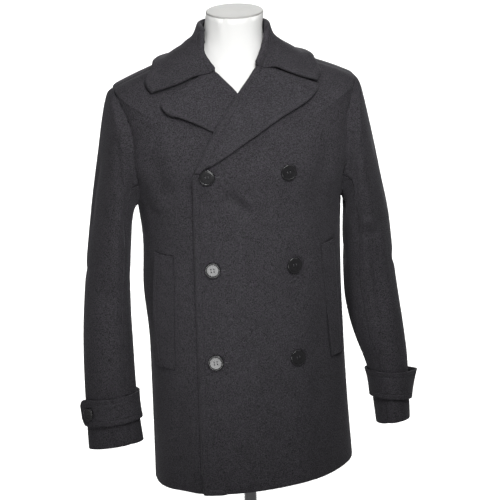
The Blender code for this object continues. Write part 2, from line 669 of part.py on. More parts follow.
def along_at(angle, z):
    """Distance along the body at which this angle has the height z."""
    low, high = 0.0, 0.7
    for _ in range(40):
        middle = (low + high) / 2
        if body_point(angle, middle)[2] < z:
            low = middle
        else:
            high = middle
    return (low + high) / 2


def welt_piece(name, side, size, point, mat, collection):
    inner, outer = [], []
    for row in range(WELT_ROWS + 1):
        t = row / WELT_ROWS
        z = size.low_z + (size.top_z - size.low_z) * t
        seam = size.seam_low + (size.seam_top - size.seam_low) * t
        free = size.free_low + (size.free_top - size.free_low) * t
        low_row, high_row = [], []
        for i in range(WELT_COLUMNS):
            s = i / (WELT_COLUMNS - 1)
            angle = side * (seam + (free - seam) * s)
            along = along_at(angle, z)
            lift = size.gape * math.sin(math.pi * t) * s * s
            low_row.append(point(angle, along, WOOL + WELT_GAP + lift))
            high_row.append(point(angle, along, WOOL + WELT_GAP + lift + WELT_THICK))
        inner.append(low_row)
        outer.append(high_row)
    return wall(name, inner, outer, mat, collection)


# ---- cuff straps --------------------------------------------------------------------------
# where each strap begins at the back and where its free end and its button lie, round from
# outside; how far it stands off, round which angle, the lower edge's share of that and how
# much lower the strap lies outside than in the middle
Strap = namedtuple("Strap", "side start end button kick kick_angle kick_half low_share slant")
STRAPS = {
    "right_strap": Strap(-1, 262, 4, 33, 0.0075, 4, 15, 0.45, 0.0),
    "left_strap": Strap(1, 262, -60, -33, 0.0125, -4, 27, 0.0, 0.0080),
}
STRAP_POINT = 0.012          # how much narrower a strap's free end is, at each edge
STRAP_COLUMNS = 22
STRAP_ROWS = 4
STRAP_FLARE = 0.0008


def sleeve_height(side, angle, height):
    """Distance along a sleeve at which it is this high above its cuff's edge."""
    cuff_z = sleeve_ring(side, angle, 1.0)[2]
    low, high = 0.6, 1.0
    for _ in range(40):
        middle = (low + high) / 2
        if sleeve_ring(side, angle, middle)[2] - cuff_z > height:
            low = middle
        else:
            high = middle
    return (low + high) / 2


def strap_point(strap, angle, height, out):
    """Point over the sleeve; the strap stands off a little at its edges and near its end."""
    middle = STRAP_LOW + STRAP_WIDTH / 2
    across = (height - middle) / (STRAP_WIDTH / 2)
    level = strap.low_share + (1 - strap.low_share) * (1 + across) / 2
    kick = strap.kick * level * math.exp(-((angle - strap.kick_angle) / strap.kick_half) ** 2)
    height -= strap.slant * math.cos(math.radians(angle))
    along = sleeve_height(strap.side, angle, height)
    rise = STRAP_GAP + STRAP_FLARE * across ** 2 + kick
    return sleeve_point(strap.side, angle, along, rise + out)


def strap_piece(name, mat, collection):
    strap = STRAPS[name]
    inner, outer = [], []
    for row in range(STRAP_ROWS + 1):
        low_row, high_row = [], []
        for i in range(STRAP_COLUMNS + 1):
            share = (i / STRAP_COLUMNS) ** 1.5
            angle = strap.end + (strap.start - strap.end) * share
            narrow = STRAP_POINT * (1 - smooth(0.0, 0.070, share)) ** 2
            low = STRAP_LOW + narrow
            high = STRAP_LOW + STRAP_WIDTH - narrow
            height = low + (high - low) * row / STRAP_ROWS
            low_row.append(strap_point(strap, angle, height, 0.0))
            high_row.append(strap_point(strap, angle, height, STRAP_THICK))
        inner.append(low_row)
        outer.append(high_row)
    return wall(name, inner, outer, mat, collection)


# ---- buttons ------------------------------------------------------------------------------
# half section of a button as shares of its radius and thickness, from the middle of its
# dished face over the rim to its back
RimPoint = namedtuple("RimPoint", "radius height")
BUTTON_SECTION = (RimPoint(0.0, 0.60), RimPoint(0.60, 0.60), RimPoint(0.70, 0.92),
                  RimPoint(0.84, 1.00), RimPoint(0.96, 0.82), RimPoint(1.00, 0.50),
                  RimPoint(0.90, 0.12), RimPoint(0.70, 0.00), RimPoint(0.0, 0.00))
BUTTON_STEPS = 14


def turned(name, section, steps, mat, collection):
    """Solid turned from a half section that runs from the axis, outwards and back to it."""
    mesh = bpy.data.meshes.new(name)
    verts = [(r, 0.0, z) for r, z in section]
    mesh.from_pydata(verts, [(i, i + 1) for i in range(len(verts) - 1)], [])
    obj = add_object(name, mesh, mat, collection)
    screw = obj.modifiers.new("turn", "SCREW")
    screw.steps = steps
    screw.render_steps = steps
    screw.use_merge_vertices = True
    screw.merge_threshold = 0.00001
    screw.use_smooth_shade = True
    screw.use_normal_calculate = False
    return obj


def button_piece(name, radius, place, facing, mat, collection):
    """A button with its back at the place, facing along the given direction."""
    section = [(p.radius * radius, p.height * BUTTON_THICK) for p in BUTTON_SECTION]
    obj = turned(name, section, BUTTON_STEPS, mat, collection)
    z_axis = facing / np.linalg.norm(facing)
    x_axis = np.cross((0.0, 1.0, 0.0), z_axis)
    x_axis = x_axis / np.linalg.norm(x_axis)
    y_axis = np.cross(z_axis, x_axis)
    centre = place + np.array((0, 0, CHEST_DATUM))
    rows = [(x_axis[i], y_axis[i], z_axis[i], centre[i]) for i in range(3)]
    obj.matrix_world = Matrix(rows + [(0, 0, 0, 1)])
    return obj


def front_buttons(mat, collection):
    for row, height in enumerate(BUTTON_HEIGHTS):
        for side, side_name in ((-1, "right"), (1, "left")):
            x = BUTTON_SHIFT[row] + side * BUTTON_HALF_SPAN
            angle, along = find_front(x, height)
            place = left_point(angle, along, WOOL + BUTTON_SEAT)
            facing = left_normal(angle, along)
            name = f"button_{side_name}_{row + 1}"
            button_piece(name, BUTTON_RADIUS, place, facing, mat, collection)


def left_normal(angle, along):
    """Outward direction of the left front, with its folds and its lap over the right one."""
    a = left_point(angle + 1.5, along, WOOL) - left_point(angle - 1.5, along, WOOL)
    b = left_point(angle, along + 0.005, WOOL) - left_point(angle, along - 0.005, WOOL)
    n = np.cross(a, b)
    return n / np.linalg.norm(n)


def cuff_buttons(mat, collection):
    height = STRAP_LOW + STRAP_WIDTH / 2
    for name, strap in STRAPS.items():
        place = strap_point(strap, strap.button, height, STRAP_THICK)
        beside = strap_point(strap, strap.button + 3, height, STRAP_THICK)
        above = strap_point(strap, strap.button, height + 0.004, STRAP_THICK)
        facing = np.cross(beside - place, above - place) * -strap.side
        facing = facing / np.linalg.norm(facing)
        name = name.replace("strap", "cuff_button")
        button_piece(name, CUFF_BUTTON_RADIUS, place + facing * CUFF_BUTTON_SEAT, facing, mat, collection)


# ---- dress form and stand -----------------------------------------------------------------
# the form below the shoulders, in the same columns as the coat's rings
FORM_RINGS = (
    Ring(0.000, 0.1480, 0.112, 0.106, 0.06, -0.265, -0.265, -0.265, 0.000, 0.000),
    Ring(0.100, 0.1560, 0.120, 0.114, 0.07, -0.165, -0.165, -0.165, 0.000, 0.000),
    Ring(0.260, 0.1460, 0.110, 0.102, 0.06, -0.005, -0.005, -0.005, 0.000, 0.004),
    Ring(0.370, 0.1590, 0.120, 0.112, 0.08, 0.105, 0.105, 0.105, -0.002, 0.012),
    Ring(0.430, 0.1700, 0.121, 0.115, 0.09, 0.160, 0.150, 0.160, -0.004, 0.018),
    Ring(0.490, 0.1800, 0.116, 0.113, 0.08, 0.215, 0.190, 0.216, -0.005, 0.014),
    Ring(0.550, 0.1885, 0.109, 0.108, 0.06, 0.268, 0.222, 0.270, -0.005, 0.006),
    Ring(0.590, 0.1935, 0.104, 0.104, 0.05, 0.306, 0.246, 0.306, -0.006, 0.001),
)
# above them it follows the coat: distance along the coat and the clearance to it, at the
# shoulders, in front and behind
Clear = namedtuple("Clear", "along side front back")
FORM_CLEAR = (
    Clear(0.775, 0.0009, 0.0035, 0.0030),
    Clear(0.820, 0.0008, 0.0040, 0.0020),
    Clear(0.862, 0.0008, 0.0050, 0.0020),
    Clear(0.900, 0.0050, 0.0075, 0.0050),
    Clear(0.930, 0.0058, 0.0085, 0.0055),
    Clear(0.955, 0.0040, 0.0070, 0.0050),
)
FORM_SEGMENTS = 30
FORM_LOW_ROWS = 10
FORM_HIGH_ROWS = 8
NECK_TOP = 0.0035            # thickness of the neck's cap

form_curve = Curve(FORM_RINGS)
clear_curve = Curve(FORM_CLEAR)


def form_rows():
    """Rings of the form from its lower edge up to the neck's top."""
    angles = [360 * i / FORM_SEGMENTS for i in range(FORM_SEGMENTS)]
    top_low = FORM_RINGS[-1].along
    rows = []
    for i in range(FORM_LOW_ROWS + 1):
        along = top_low * i / FORM_LOW_ROWS
        rows.append([ring_point(form_curve, a, along) for a in angles])
    first, last = FORM_CLEAR[0].along, FORM_CLEAR[-1].along
    for i in range(FORM_HIGH_ROWS + 1):
        along = first + (last - first) * i / FORM_HIGH_ROWS
        side, front, back = clear_curve(along)
        row = []
        for a in angles:
            c = math.cos(math.radians(a))
            gap = side + ((front if c > 0 else back) - side) * c ** 4
            row.append(body_point(a, along) - body_normal(a, along) * gap)
        rows.append(row)
    top_z = CAP_HEIGHT - NECK_TOP - SEAM_GAP
    rows.append([np.array((NECK_CAP_RADIUS * math.sin(math.radians(a)),
                           -NECK_CAP_RADIUS * math.cos(math.radians(a)), top_z)) for a in angles])
    return rows


def closed_loft(name, rows, mat, collection):
    """Solid through rings of points, flat at both ends."""
    count = len(rows[0])
    verts = [tuple(p) for row in rows for p in row]
    faces = []
    for r in range(len(rows) - 1):
        for c in range(count):
            d = (c + 1) % count
            faces.append((r * count + c, r * count + d, (r + 1) * count + d, (r + 1) * count + c))
    faces.append(tuple(range(count))[::-1])
    faces.append(tuple(range((len(rows) - 1) * count, len(rows) * count)))
    mesh = bpy.data.meshes.new(name)
    mesh.from_pydata(verts, [], faces)
    bm = bmesh.new()
    bm.from_mesh(mesh)
    if bm.calc_volume(signed=True) < 0:
        bmesh.ops.reverse_faces(bm, faces=bm.faces)
    bmesh.ops.triangulate(bm, faces=bm.faces)
    bm.to_mesh(mesh)
    bm.free()
    mesh.shade_smooth()
    mesh.set_sharp_from_angle(angle=math.radians(40))
    return add_object(name, mesh, mat, collection)


def make_stand(chrome, collection):
    """Pole under the form and a round base with a raised hub."""
    floor = -CHEST_DATUM
    form_low = FORM_RINGS[0].side_z
    hub_top = floor + 0.034
    length = form_low - hub_top - 2 * SEAM_GAP
    mesh = bpy.data.meshes.new("pole")
    bm = bmesh.new()
    bmesh.ops.create_cone(bm, cap_ends=True, segments=24, radius1=POLE_RADIUS,
                          radius2=POLE_RADIUS, depth=length)
    bmesh.ops.translate(bm, verts=bm.verts, vec=(0, 0, hub_top + SEAM_GAP + length / 2))
    bm.to_mesh(mesh)
    bm.free()
    mesh.shade_smooth()
    mesh.set_sharp_from_angle(angle=math.radians(40))
    add_object("pole", mesh, chrome, collection)
    edge = 0.004
    section = [(0.0, hub_top), (0.0185, hub_top), (0.0205, hub_top - 0.002),
               (0.0225, floor + BASE_THICK + 0.003), (0.0260, floor + BASE_THICK),
               (BASE_RADIUS - edge, floor + BASE_THICK - 0.002),
               (BASE_RADIUS - 0.001, floor + BASE_THICK - 0.005),
               (BASE_RADIUS, floor + BASE_THICK - 0.008), (BASE_RADIUS, floor + 0.001),
               (BASE_RADIUS - 0.001, floor), (0.0, floor)]
    turned("base", section, 36, chrome, collection)


def make_cap(mat, collection):
    top = CAP_HEIGHT
    section = [(0.0, top), (NECK_CAP_RADIUS - 0.0012, top), (NECK_CAP_RADIUS, top - 0.0010),
               (NECK_CAP_RADIUS, top - NECK_TOP), (0.0, top - NECK_TOP)]
    turned("form_cap", section, 36, mat, collection)


# ---- the whole object ---------------------------------------------------------------------
def main():
    clear_scene()
    collection = bpy.data.collections.new("pea_coat_on_form")
    bpy.context.scene.collection.children.link(collection)
    wool = material("charcoal_melton", (0.045, 0.044, 0.050), 0.9)
    horn = material("black_buttons", (0.012, 0.012, 0.013), 0.25)
    white = material("white_form", (0.80, 0.79, 0.76), 0.55)
    cap_white = material("neck_cap", (0.72, 0.71, 0.68), 0.45)
    chrome = material("chrome", (0.70, 0.70, 0.71), 0.12, 1.0)

    body_panel("left_front", 1, True, left_edge_x, left_point, wool, collection)
    body_panel("right_front", -1, True, right_edge_x, cloth_point, wool, collection)
    body_panel("left_back", 1, False, None, cloth_point, wool, collection)
    body_panel("right_back", -1, False, None, cloth_point, wool, collection)
    for side, name in ((1, "left"), (-1, "right")):
        sleeve_piece(f"{name}_sleeve_top", side, -SLEEVE_SEAM, SLEEVE_SEAM, wool, collection)
        sleeve_piece(f"{name}_sleeve_under", side, SLEEVE_SEAM, 2 * ARMHOLE_ROWS - SLEEVE_SEAM,
                     wool, collection)
    make_collar(wool, collection)
    lapel_piece("left_lapel", 1, left_roll, LEFT_LAPEL_EDGE, LEFT_NOTCH, LEFT_GORGE_Z,
                left_point, wool, collection)
    lapel_piece("right_lapel", -1, right_roll, RIGHT_LAPEL_EDGE, RIGHT_NOTCH, RIGHT_GORGE_Z,
                cloth_point, wool, collection)
    welt_piece("right_welt", -1, RIGHT_WELT, cloth_point, wool, collection)
    welt_piece("left_welt", 1, LEFT_WELT, left_point, wool, collection)
    for name in STRAPS:
        strap_piece(name, wool, collection)
    front_buttons(horn, collection)
    cuff_buttons(horn, collection)
    closed_loft("form_torso", form_rows(), white, collection)
    make_cap(cap_white, collection)
    make_stand(chrome, collection)


main()
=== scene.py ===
"""Pea coat on a dress form: cloth, buttons, stitching and stand, built over the fixed CAD frame."""
import math

import bmesh
import bpy
import numpy as np
from mathutils import Matrix, Vector
from mathutils.bvhtree import BVHTree
from mathutils.kdtree import KDTree


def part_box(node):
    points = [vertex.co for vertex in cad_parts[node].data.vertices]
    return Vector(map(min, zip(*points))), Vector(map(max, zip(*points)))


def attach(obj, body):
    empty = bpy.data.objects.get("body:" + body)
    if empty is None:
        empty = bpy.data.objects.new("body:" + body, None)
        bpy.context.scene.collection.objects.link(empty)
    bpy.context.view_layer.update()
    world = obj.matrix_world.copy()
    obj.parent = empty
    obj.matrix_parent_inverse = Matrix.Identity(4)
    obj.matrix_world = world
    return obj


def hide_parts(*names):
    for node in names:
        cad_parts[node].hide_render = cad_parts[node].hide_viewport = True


bl_info = {
    "name": "Pea coat on a dress form",
    "version": (1, 0, 0),
    "blender": (4, 5, 0),
    "location": "View3D > Sidebar > Pea Coat",
    "description": "Builds a melton pea coat, its buttons, stitching and dress form",
    "category": "Object",
}

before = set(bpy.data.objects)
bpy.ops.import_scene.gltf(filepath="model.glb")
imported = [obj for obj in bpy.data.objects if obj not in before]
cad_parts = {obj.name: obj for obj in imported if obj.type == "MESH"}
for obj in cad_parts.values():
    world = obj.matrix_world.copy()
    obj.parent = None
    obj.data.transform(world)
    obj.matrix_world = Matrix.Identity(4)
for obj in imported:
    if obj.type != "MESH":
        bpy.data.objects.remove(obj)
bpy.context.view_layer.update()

DATUM = 1.040                # the chest level that the tables' heights count from
AXIS_X = 0.004               # middle of the body, across
AXIS_Y = 0.005

# ---- what each cloth piece is: cut width and length, what it hangs on, flat area ----
FORM = ["form_torso"]
CLOTH = {
    "left_front": ((0.400, 0.860), FORM, 0.268),
    "right_front": ((0.400, 0.860), FORM, 0.262),
    "left_back": ((0.260, 0.850), FORM, 0.200),
    "right_back": ((0.260, 0.860), FORM, 0.207),
    "left_sleeve_top": ((0.270, 0.690), FORM, 0.137),
    "right_sleeve_top": ((0.270, 0.700), FORM, 0.143),
    "left_sleeve_under": ((0.150, 0.520), FORM, 0.057),
    "right_sleeve_under": ((0.150, 0.530), FORM, 0.058),
    "collar": ((0.600, 0.160), FORM, 0.060),
    "left_lapel": ((0.240, 0.190), ["left_front"], 0.018),
    "right_lapel": ((0.230, 0.180), ["right_front"], 0.017),
    "left_strap": ((0.300, 0.052), ["left_sleeve_top"], 0.0146),
    "right_strap": ((0.240, 0.052), ["right_sleeve_top"], 0.0113),
    "left_welt": ((0.045, 0.225), ["left_front"], 0.0094),
    "right_welt": ((0.050, 0.225), ["right_front"], 0.0111),
}
BODY_PANELS = ("left_front", "right_front", "left_back", "right_back")
SLEEVE_PANELS = ("left_sleeve_top", "right_sleeve_top", "left_sleeve_under", "right_sleeve_under")
DETAIL = 3                   # how many times the cloth is subdivided
RIM_ANGLE = 35               # a sharper bend than this is a cut or turned edge
RIM_CREASE = 0.80            # how firm a free edge stays; a sewn one stays wholly firm

# ---- folds and creases ----
# side they show on, path in that side's plane (across, height above the chest), half width,
# depth (a ridge is positive), how far in from each end they fade out; all in millimetres
BODY_FOLDS = (
    ("front", ((-46, 152), (-22, 130), (10, 100)), 11, -5.2, 20),
    ("front", ((-29, 154), (9, 122)), 8, 1.6, 18),
    ("front", ((141, 38), (163, 50)), 4.5, 2.2, 10),
    ("front", ((137, 26), (165, 38)), 5, -2, 10),
    ("front", ((-181, 234), (-159, 174), (-147, 114)), 16, -3.5, 40),
    ("front", ((-199, 164), (-129, 152), (-83, 174)), 18, -2.6, 50),
    ("front", ((159, 244), (143, 174), (131, 84)), 18, -3.4, 50),
    ("front", ((91, 64), (73, -36), (82, -106)), 22, -2.2, 60),
    ("front", ((133, -76), (125, -206), (131, -376)), 24, -3.6, 70),
    ("front", ((34, -156), (39, -266), (48, -418)), 26, -2.4, 80),
    ("front", ((-38, -176), (-30, -266), (-25, -418)), 22, 1.8, 80),
    ("front", ((-141, -206), (-137, -296), (-135, -418)), 18, -3, 60),
    ("front", ((-159, 44), (-119, 24), (-109, -56)), 16, -1.6, 40),
    ("back", ((-60, 300), (-20, 262), (50, 280)), 20, -2.4, 50),
    ("back", ((120, 250), (86, 160), (92, 50)), 20, -4.8, 70),
    ("back", ((-134, 240), (-98, 150), (-90, 30)), 18, -4.4, 70),
    ("back", ((150, 110), (90, 80), (40, 92)), 14, -3, 50),
    ("back", ((-150, 92), (-100, 70), (-50, 84)), 13, -2.7, 44),
    ("back", ((60, -20), (74, -180), (88, -410)), 24, -5, 110),
    ("back", ((-40, -60), (-64, -220), (-72, -410)), 26, -4.6, 120),
    ("back", ((128, -120), (134, -260), (140, -410)), 18, 3.2, 90),
    ("back", ((-120, -90), (-128, -250), (-138, -410)), 20, 3.6, 90),
    ("left", ((12, 60), (4, -60), (16, -150)), 18, -2.6, 60),
    ("right", ((30, 50), (18, -50), (34, -190)), 18, -2.6, 60),
    ("left", ((60, -170), (66, -300), (70, -410)), 20, -3.6, 70),
    ("right", ((56, -200), (60, -310), (64, -410)), 18, -3.4, 70),
)
SLEEVE_FOLDS = (
    ("front", ((208, 254), (200, 168), (204, 98)), 10, -3, 50),
    ("front", ((230, 98), (238, -22), (256, -162)), 10, -4, 70),
    ("front", ((250, 78), (260, -32), (278, -152)), 7, 1.8, 60),
    ("front", ((206, 48), (230, 34), (256, 46)), 9, -3, 20),
    ("front", ((202, 68), (220, 58), (244, 70)), 7, 1.6, 18),
    ("front", ((-230, 268), (-232, 188), (-228, 128)), 9, -3.4, 50),
    ("front", ((-246, 58), (-262, -22), (-268, -112)), 12, -1.8, 50),
    ("front", ((-234, -42), (-258, -56), (-286, -48)), 12, -1.4, 22),
    ("back", ((214, 240), (206, 150), (212, 80)), 10, -3.4, 50),
    ("back", ((-226, 250), (-222, 160), (-226, 90)), 10, -3.6, 50),
    ("back", ((208, 30), (236, 6), (268, 12)), 10, -4.4, 22),
    ("back", ((214, -4), (240, -28), (270, -26)), 9, -3.6, 20),
    ("back", ((-220, 26), (-250, 4), (-280, 12)), 10, -4.2, 22),
    ("back", ((-226, -12), (-252, -36), (-284, -30)), 9, -3.4, 20),
    ("back", ((250, -80), (266, -160), (276, -230)), 10, -2.6, 50),
    ("back", ((-258, -90), (-272, -170), (-276, -240)), 10, -2.6, 50),
    ("left", ((-40, 230), (-12, 140), (-20, 50)), 12, -2, 60),
    ("left", ((36, -10), (4, -30), (-24, -18)), 10, -2.4, 24),
    ("right", ((40, 0), (6, -24), (-26, -14)), 10, -2.4, 24),
    ("right", ((-30, 220), (-10, 130), (-16, 40)), 12, -2, 60),
)
FACING = {"front": (0, -1, 0), "back": (0, 1, 0), "left": (1, 0, 0), "right": (-1, 0, 0)}


# ---- small tools for meshes ----
def node(name):
    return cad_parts[name]


def settings():
    return bpy.context.scene.pea_coat


def clear_selection():
    if bpy.context.object and bpy.context.object.mode != "OBJECT":
        bpy.ops.object.mode_set(mode="OBJECT")
    for obj in bpy.context.selected_objects:
        obj.select_set(False)


def pick(obj):
    clear_selection()
    obj.select_set(True)
    bpy.context.view_layer.objects.active = obj


def edit_all():
    """Goes into edit mode with the whole mesh selected."""
    bpy.ops.object.mode_set(mode="EDIT")
    bpy.ops.mesh.select_all(action="SELECT")


def leave_edit():
    bpy.ops.object.mode_set(mode="OBJECT")


def coords(mesh, field="co"):
    data = np.empty(len(mesh.vertices) * 3)
    mesh.vertices.foreach_get(field, data)
    return data.reshape(-1, 3)


def normals(mesh):
    return coords(mesh, "normal")


def set_coords(mesh, points):
    mesh.vertices.foreach_set("co", points.reshape(-1))
    mesh.update()


def point_tree(points, chosen):
    """A search tree over the chosen points."""
    tree = KDTree(len(chosen))
    for i in chosen:
        tree.insert(points[i], int(i))
    tree.balance()
    return tree


def smoothstep(low, high, x):
    """A soft step from 0 at low to 1 at high; high may be the smaller one."""
    t = np.clip((x - low) / (high - low), 0.0, 1.0)
    return t * t * (3 - 2 * t)


WELD = 0.00001               # points nearer than this are one
QUAD_ANGLE = math.radians(60)
QUAD_SHAPE = math.radians(80)


def merged_copy(name):
    """The node's mesh as a new object of clean quads, at the origin."""
    piece = bpy.data.objects.new(name + "_cloth", node(name).data.copy())
    bpy.context.scene.collection.objects.link(piece)
    piece.data.materials.clear()
    pick(piece)
    edit_all()
    bpy.ops.mesh.remove_doubles(threshold=WELD)
    bpy.ops.mesh.tris_convert_to_quads(face_threshold=QUAD_ANGLE, shape_threshold=QUAD_SHAPE,
                                       topology_influence=1.0)
    leave_edit()
    return piece


def crease_rims(piece, angle, strength):
    """Keeps the cut edges and corners of a piece firm while its faces are smoothed."""
    bm = bmesh.new()
    bm.from_mesh(piece.data)
    layer = bm.edges.layers.float.get("crease_edge") or bm.edges.layers.float.new("crease_edge")
    for edge in bm.edges:
        bent = edge.calc_face_angle(0.0) > math.radians(angle)
        edge[layer] = strength if bent else 0.0
        edge.smooth = True
    for face in bm.faces:
        face.smooth = True
    bm.to_mesh(piece.data)
    bm.free()


CAGE_ROUNDS = 3              # how often the cage is corrected, and by how much each time
CAGE_STEP = 0.9


def smooth_through(piece, levels):
    """Subdivides a piece so that its surface still passes through the points it had."""
    rest = coords(piece.data)
    cage = rest.copy()
    soft = piece.modifiers.new("smooth", "SUBSURF")
    soft.levels = 1
    soft.render_levels = 1
    for _ in range(CAGE_ROUNDS):
        graph = bpy.context.evaluated_depsgraph_get()
        shaped = piece.evaluated_get(graph)
        found = coords(shaped.to_mesh())[:len(rest)]
        shaped.to_mesh_clear()
        cage += CAGE_STEP * (rest - found)
        set_coords(piece.data, cage)
    soft.levels = levels
    soft.render_levels = levels
    pick(piece)
    bpy.ops.object.modifier_apply(modifier=soft.name)


FACES_OUT = 0.5              # the least cosine to the hint of a point on the outer side


def outward(piece, hint):
    """For each point, the direction out of the garment, the same on both sides of the wall."""
    points = coords(piece.data)
    own = normals(piece.data)
    away = hint(points)
    away /= np.linalg.norm(away, axis=1)[:, None]
    facing = (own * away).sum(axis=1)
    outer = np.flatnonzero(facing > FACES_OUT)
    tree = point_tree(points, outer)
    out = own.copy()
    for i in np.flatnonzero(facing <= FACES_OUT):
        out[i] = own[tree.find(points[i])[1]]
    return out


BODY_TOP = DATUM + 0.20      # above this the body and the sleeves close toward their tops
SLEEVE_TOP = DATUM + 0.22
BODY_DEPTH_WEIGHT = 1.4      # the body is wider than it is deep
SLEEVE_LEVELS = 24
NECK_POINT = (0.0, 0.02, DATUM + 0.28)


def body_hint(points):
    """Away from the upright axis of the body."""
    centre = np.column_stack((np.full(len(points), AXIS_X), np.full(len(points), AXIS_Y),
                              np.minimum(points[:, 2], BODY_TOP)))
    away = points - centre
    away[:, 1] *= BODY_DEPTH_WEIGHT
    return away


def sleeve_hint(points):
    """Away from the middle of the sleeve, which is found level by level."""
    heights = points[:, 2]
    low, high = heights.min(), min(heights.max(), SLEEVE_TOP)
    levels = np.linspace(low, high, SLEEVE_LEVELS)
    half = (high - low) / 20
    middle = []
    for level in levels:
        band = points[np.abs(heights - level) < half]
        middle.append(((band[:, 0].min() + band[:, 0].max()) / 2,
                       (band[:, 1].min() + band[:, 1].max()) / 2))
    middle = np.array(middle)
    z = np.minimum(heights, high)
    centre = np.column_stack((np.interp(z, levels, middle[:, 0]),
                              np.interp(z, levels, middle[:, 1]), z))
    return points - centre


def front_hint(points):
    """Forward and a little up, for the lapels."""
    return np.tile((0.0, -1.0, 0.35), (len(points), 1))


def collar_hint(points):
    """Away from the root of the neck."""
    return points - np.array(NECK_POINT)


def strap_hint(points):
    """Away from the middle of the cuff, level with it."""
    away = points - (points.min(axis=0) + points.max(axis=0)) / 2
    away[:, 2] = 0.0
    return away


HINTS = {name: sleeve_hint if "sleeve" in name else body_hint for name in CLOTH}
HINTS.update(collar=collar_hint, left_lapel=front_hint, right_lapel=front_hint,
             left_strap=strap_hint, right_strap=strap_hint)


HEM_HEIGHT = -400            # a fold that ends below this runs on through the hem
SIDE_SHOWS = (0.05, 0.45)    # a fold fades out where the cloth turns away from its side


def fold_depth(points, out, folds, strength):
    """How far the folds move each point out of, or into, the garment."""
    moved = np.zeros(len(points))
    for side, path, *sizes in folds:
        half_width, depth, fade = np.array(sizes) / 1000
        facing = np.array(FACING[side])
        shows = smoothstep(*SIDE_SHOWS, out @ facing)
        across = points[:, 0] if side in ("front", "back") else points[:, 1]
        place = np.column_stack((across, points[:, 2] - DATUM))
        line = spline(np.array(path) / 1000)
        start = line[:-1]
        step = line[1:] - start
        length = np.linalg.norm(step, axis=1)
        run = np.concatenate(((0,), np.cumsum(length)))
        best = np.full(len(points), np.inf)
        at = np.zeros(len(points))
        for i in range(len(start)):
            t = np.clip(((place - start[i]) @ step[i]) / length[i] ** 2, 0, 1)
            gap = np.linalg.norm(place - start[i] - t[:, None] * step[i], axis=1)
            closer = gap < best
            best[closer] = gap[closer]
            at[closer] = run[i] + t[closer] * length[i]
        taper = np.ones(len(points))
        if path[0][1] > HEM_HEIGHT:
            taper *= smoothstep(0, fade, at)
        if path[-1][1] > HEM_HEIGHT:
            taper *= smoothstep(0, fade, run[-1] - at)
        shape = np.exp(-(best / half_width) ** 2)
        moved += strength * depth * taper * shape * shows
    return moved


def spline(path, steps=8):
    """Soft line through a short list of points."""
    if len(path) == 2:
        return np.linspace(path[0], path[1], steps + 1)
    p = np.vstack((2 * path[0] - path[1], path, 2 * path[-1] - path[-2]))
    line = []
    for i in range(1, len(p) - 2):
        for t in np.arange(steps) / steps:
            a = -0.5 * t + t ** 2 - 0.5 * t ** 3
            b = 1 - 2.5 * t ** 2 + 1.5 * t ** 3
            c = 0.5 * t + 2 * t ** 2 - 1.5 * t ** 3
            d = -0.5 * t ** 2 + 0.5 * t ** 3
            line.append(a * p[i - 1] + b * p[i] + c * p[i + 1] + d * p[i + 2])
    line.append(p[-2])
    return np.array(line)


# ---- materials ----
def operation(kind, swapped=False):
    """An arithmetic method for sockets; swapped where the socket stands on the right."""
    def method(self, other):
        pair = (other, self) if swapped else (self, other)
        return self.graph.node("ShaderNodeMath", {"operation": kind}, dict(enumerate(pair)))
    return method


class Val:
    """A socket whose numbers add, multiply and so on as an expression."""
    __add__ = operation("ADD")
    __radd__ = operation("ADD", swapped=True)
    __sub__ = operation("SUBTRACT")
    __rsub__ = operation("SUBTRACT", swapped=True)
    __mul__ = operation("MULTIPLY")
    __truediv__ = operation("DIVIDE")
    __pow__ = operation("POWER")

    def __init__(self, graph, socket):
        self.graph = graph
        self.socket = socket

    def exp(self):
        return self.graph.node("ShaderNodeMath", {"operation": "EXPONENT"}, {0: self})

    def clamp(self):
        return self.graph.node("ShaderNodeClamp", {}, {"Value": self})

    def step(self, low, high):
        return self.graph.node("ShaderNodeMapRange", {"interpolation_type": "SMOOTHSTEP"},
                               {"Value": self, "From Min": low, "From Max": high})


class Graph:
    """One material's nodes."""

    def __init__(self, name):
        self.material = bpy.data.materials.new(name)
        self.material.use_nodes = True
        self.tree = self.material.node_tree
        self.shader = next(n for n in self.tree.nodes if n.type == "BSDF_PRINCIPLED")

    def node(self, kind, made, given, output=0):
        """Adds a node; its settings come first, then its sockets' values or links."""
        new = self.tree.nodes.new(kind)
        for key, value in made.items():
            setattr(new, key, value)
        for key, value in given.items():
            self.put(new.inputs[key], value)
        return Val(self, new.outputs[output])

    def put(self, socket, value):
        if isinstance(value, Val):
            self.tree.links.new(value.socket, socket)
        else:
            socket.default_value = value

    def place(self):
        return self.node("ShaderNodeTexCoord", {}, {}, "Object")

    def noise(self, where, scale, detail, rough):
        return self.node("ShaderNodeTexNoise", {}, {
            "Vector": where, "Scale": scale, "Detail": detail, "Roughness": rough}, "Fac")

    def stretched(self, where, scale):
        return self.node("ShaderNodeMapping", {}, {"Vector": where, "Scale": scale})

    def blend(self, share, a, b):
        """Mixes two colours by a share from 0 to 1."""
        return self.node("ShaderNodeMix", {"data_type": "RGBA"},
                         {0: share, 6: a, 7: b}, 2)

    def attribute(self, name):
        return self.node("ShaderNodeAttribute", {"attribute_name": name}, {}, "Fac")

    def bump(self, height, strength, distance, under=None):
        given = {"Height": height, "Strength": strength, "Distance": distance}
        if under is not None:
            given["Normal"] = under
        return self.node("ShaderNodeBump", {}, given)

    def shade(self, **sockets):
        for key, value in sockets.items():
            self.put(self.shader.inputs[key.replace("_", " ")], value)
        return self.material


def colour(r, g, b):
    return (r, g, b, 1.0)


STITCH_HALF = 0.0013         # half the width of the groove that topstitching makes


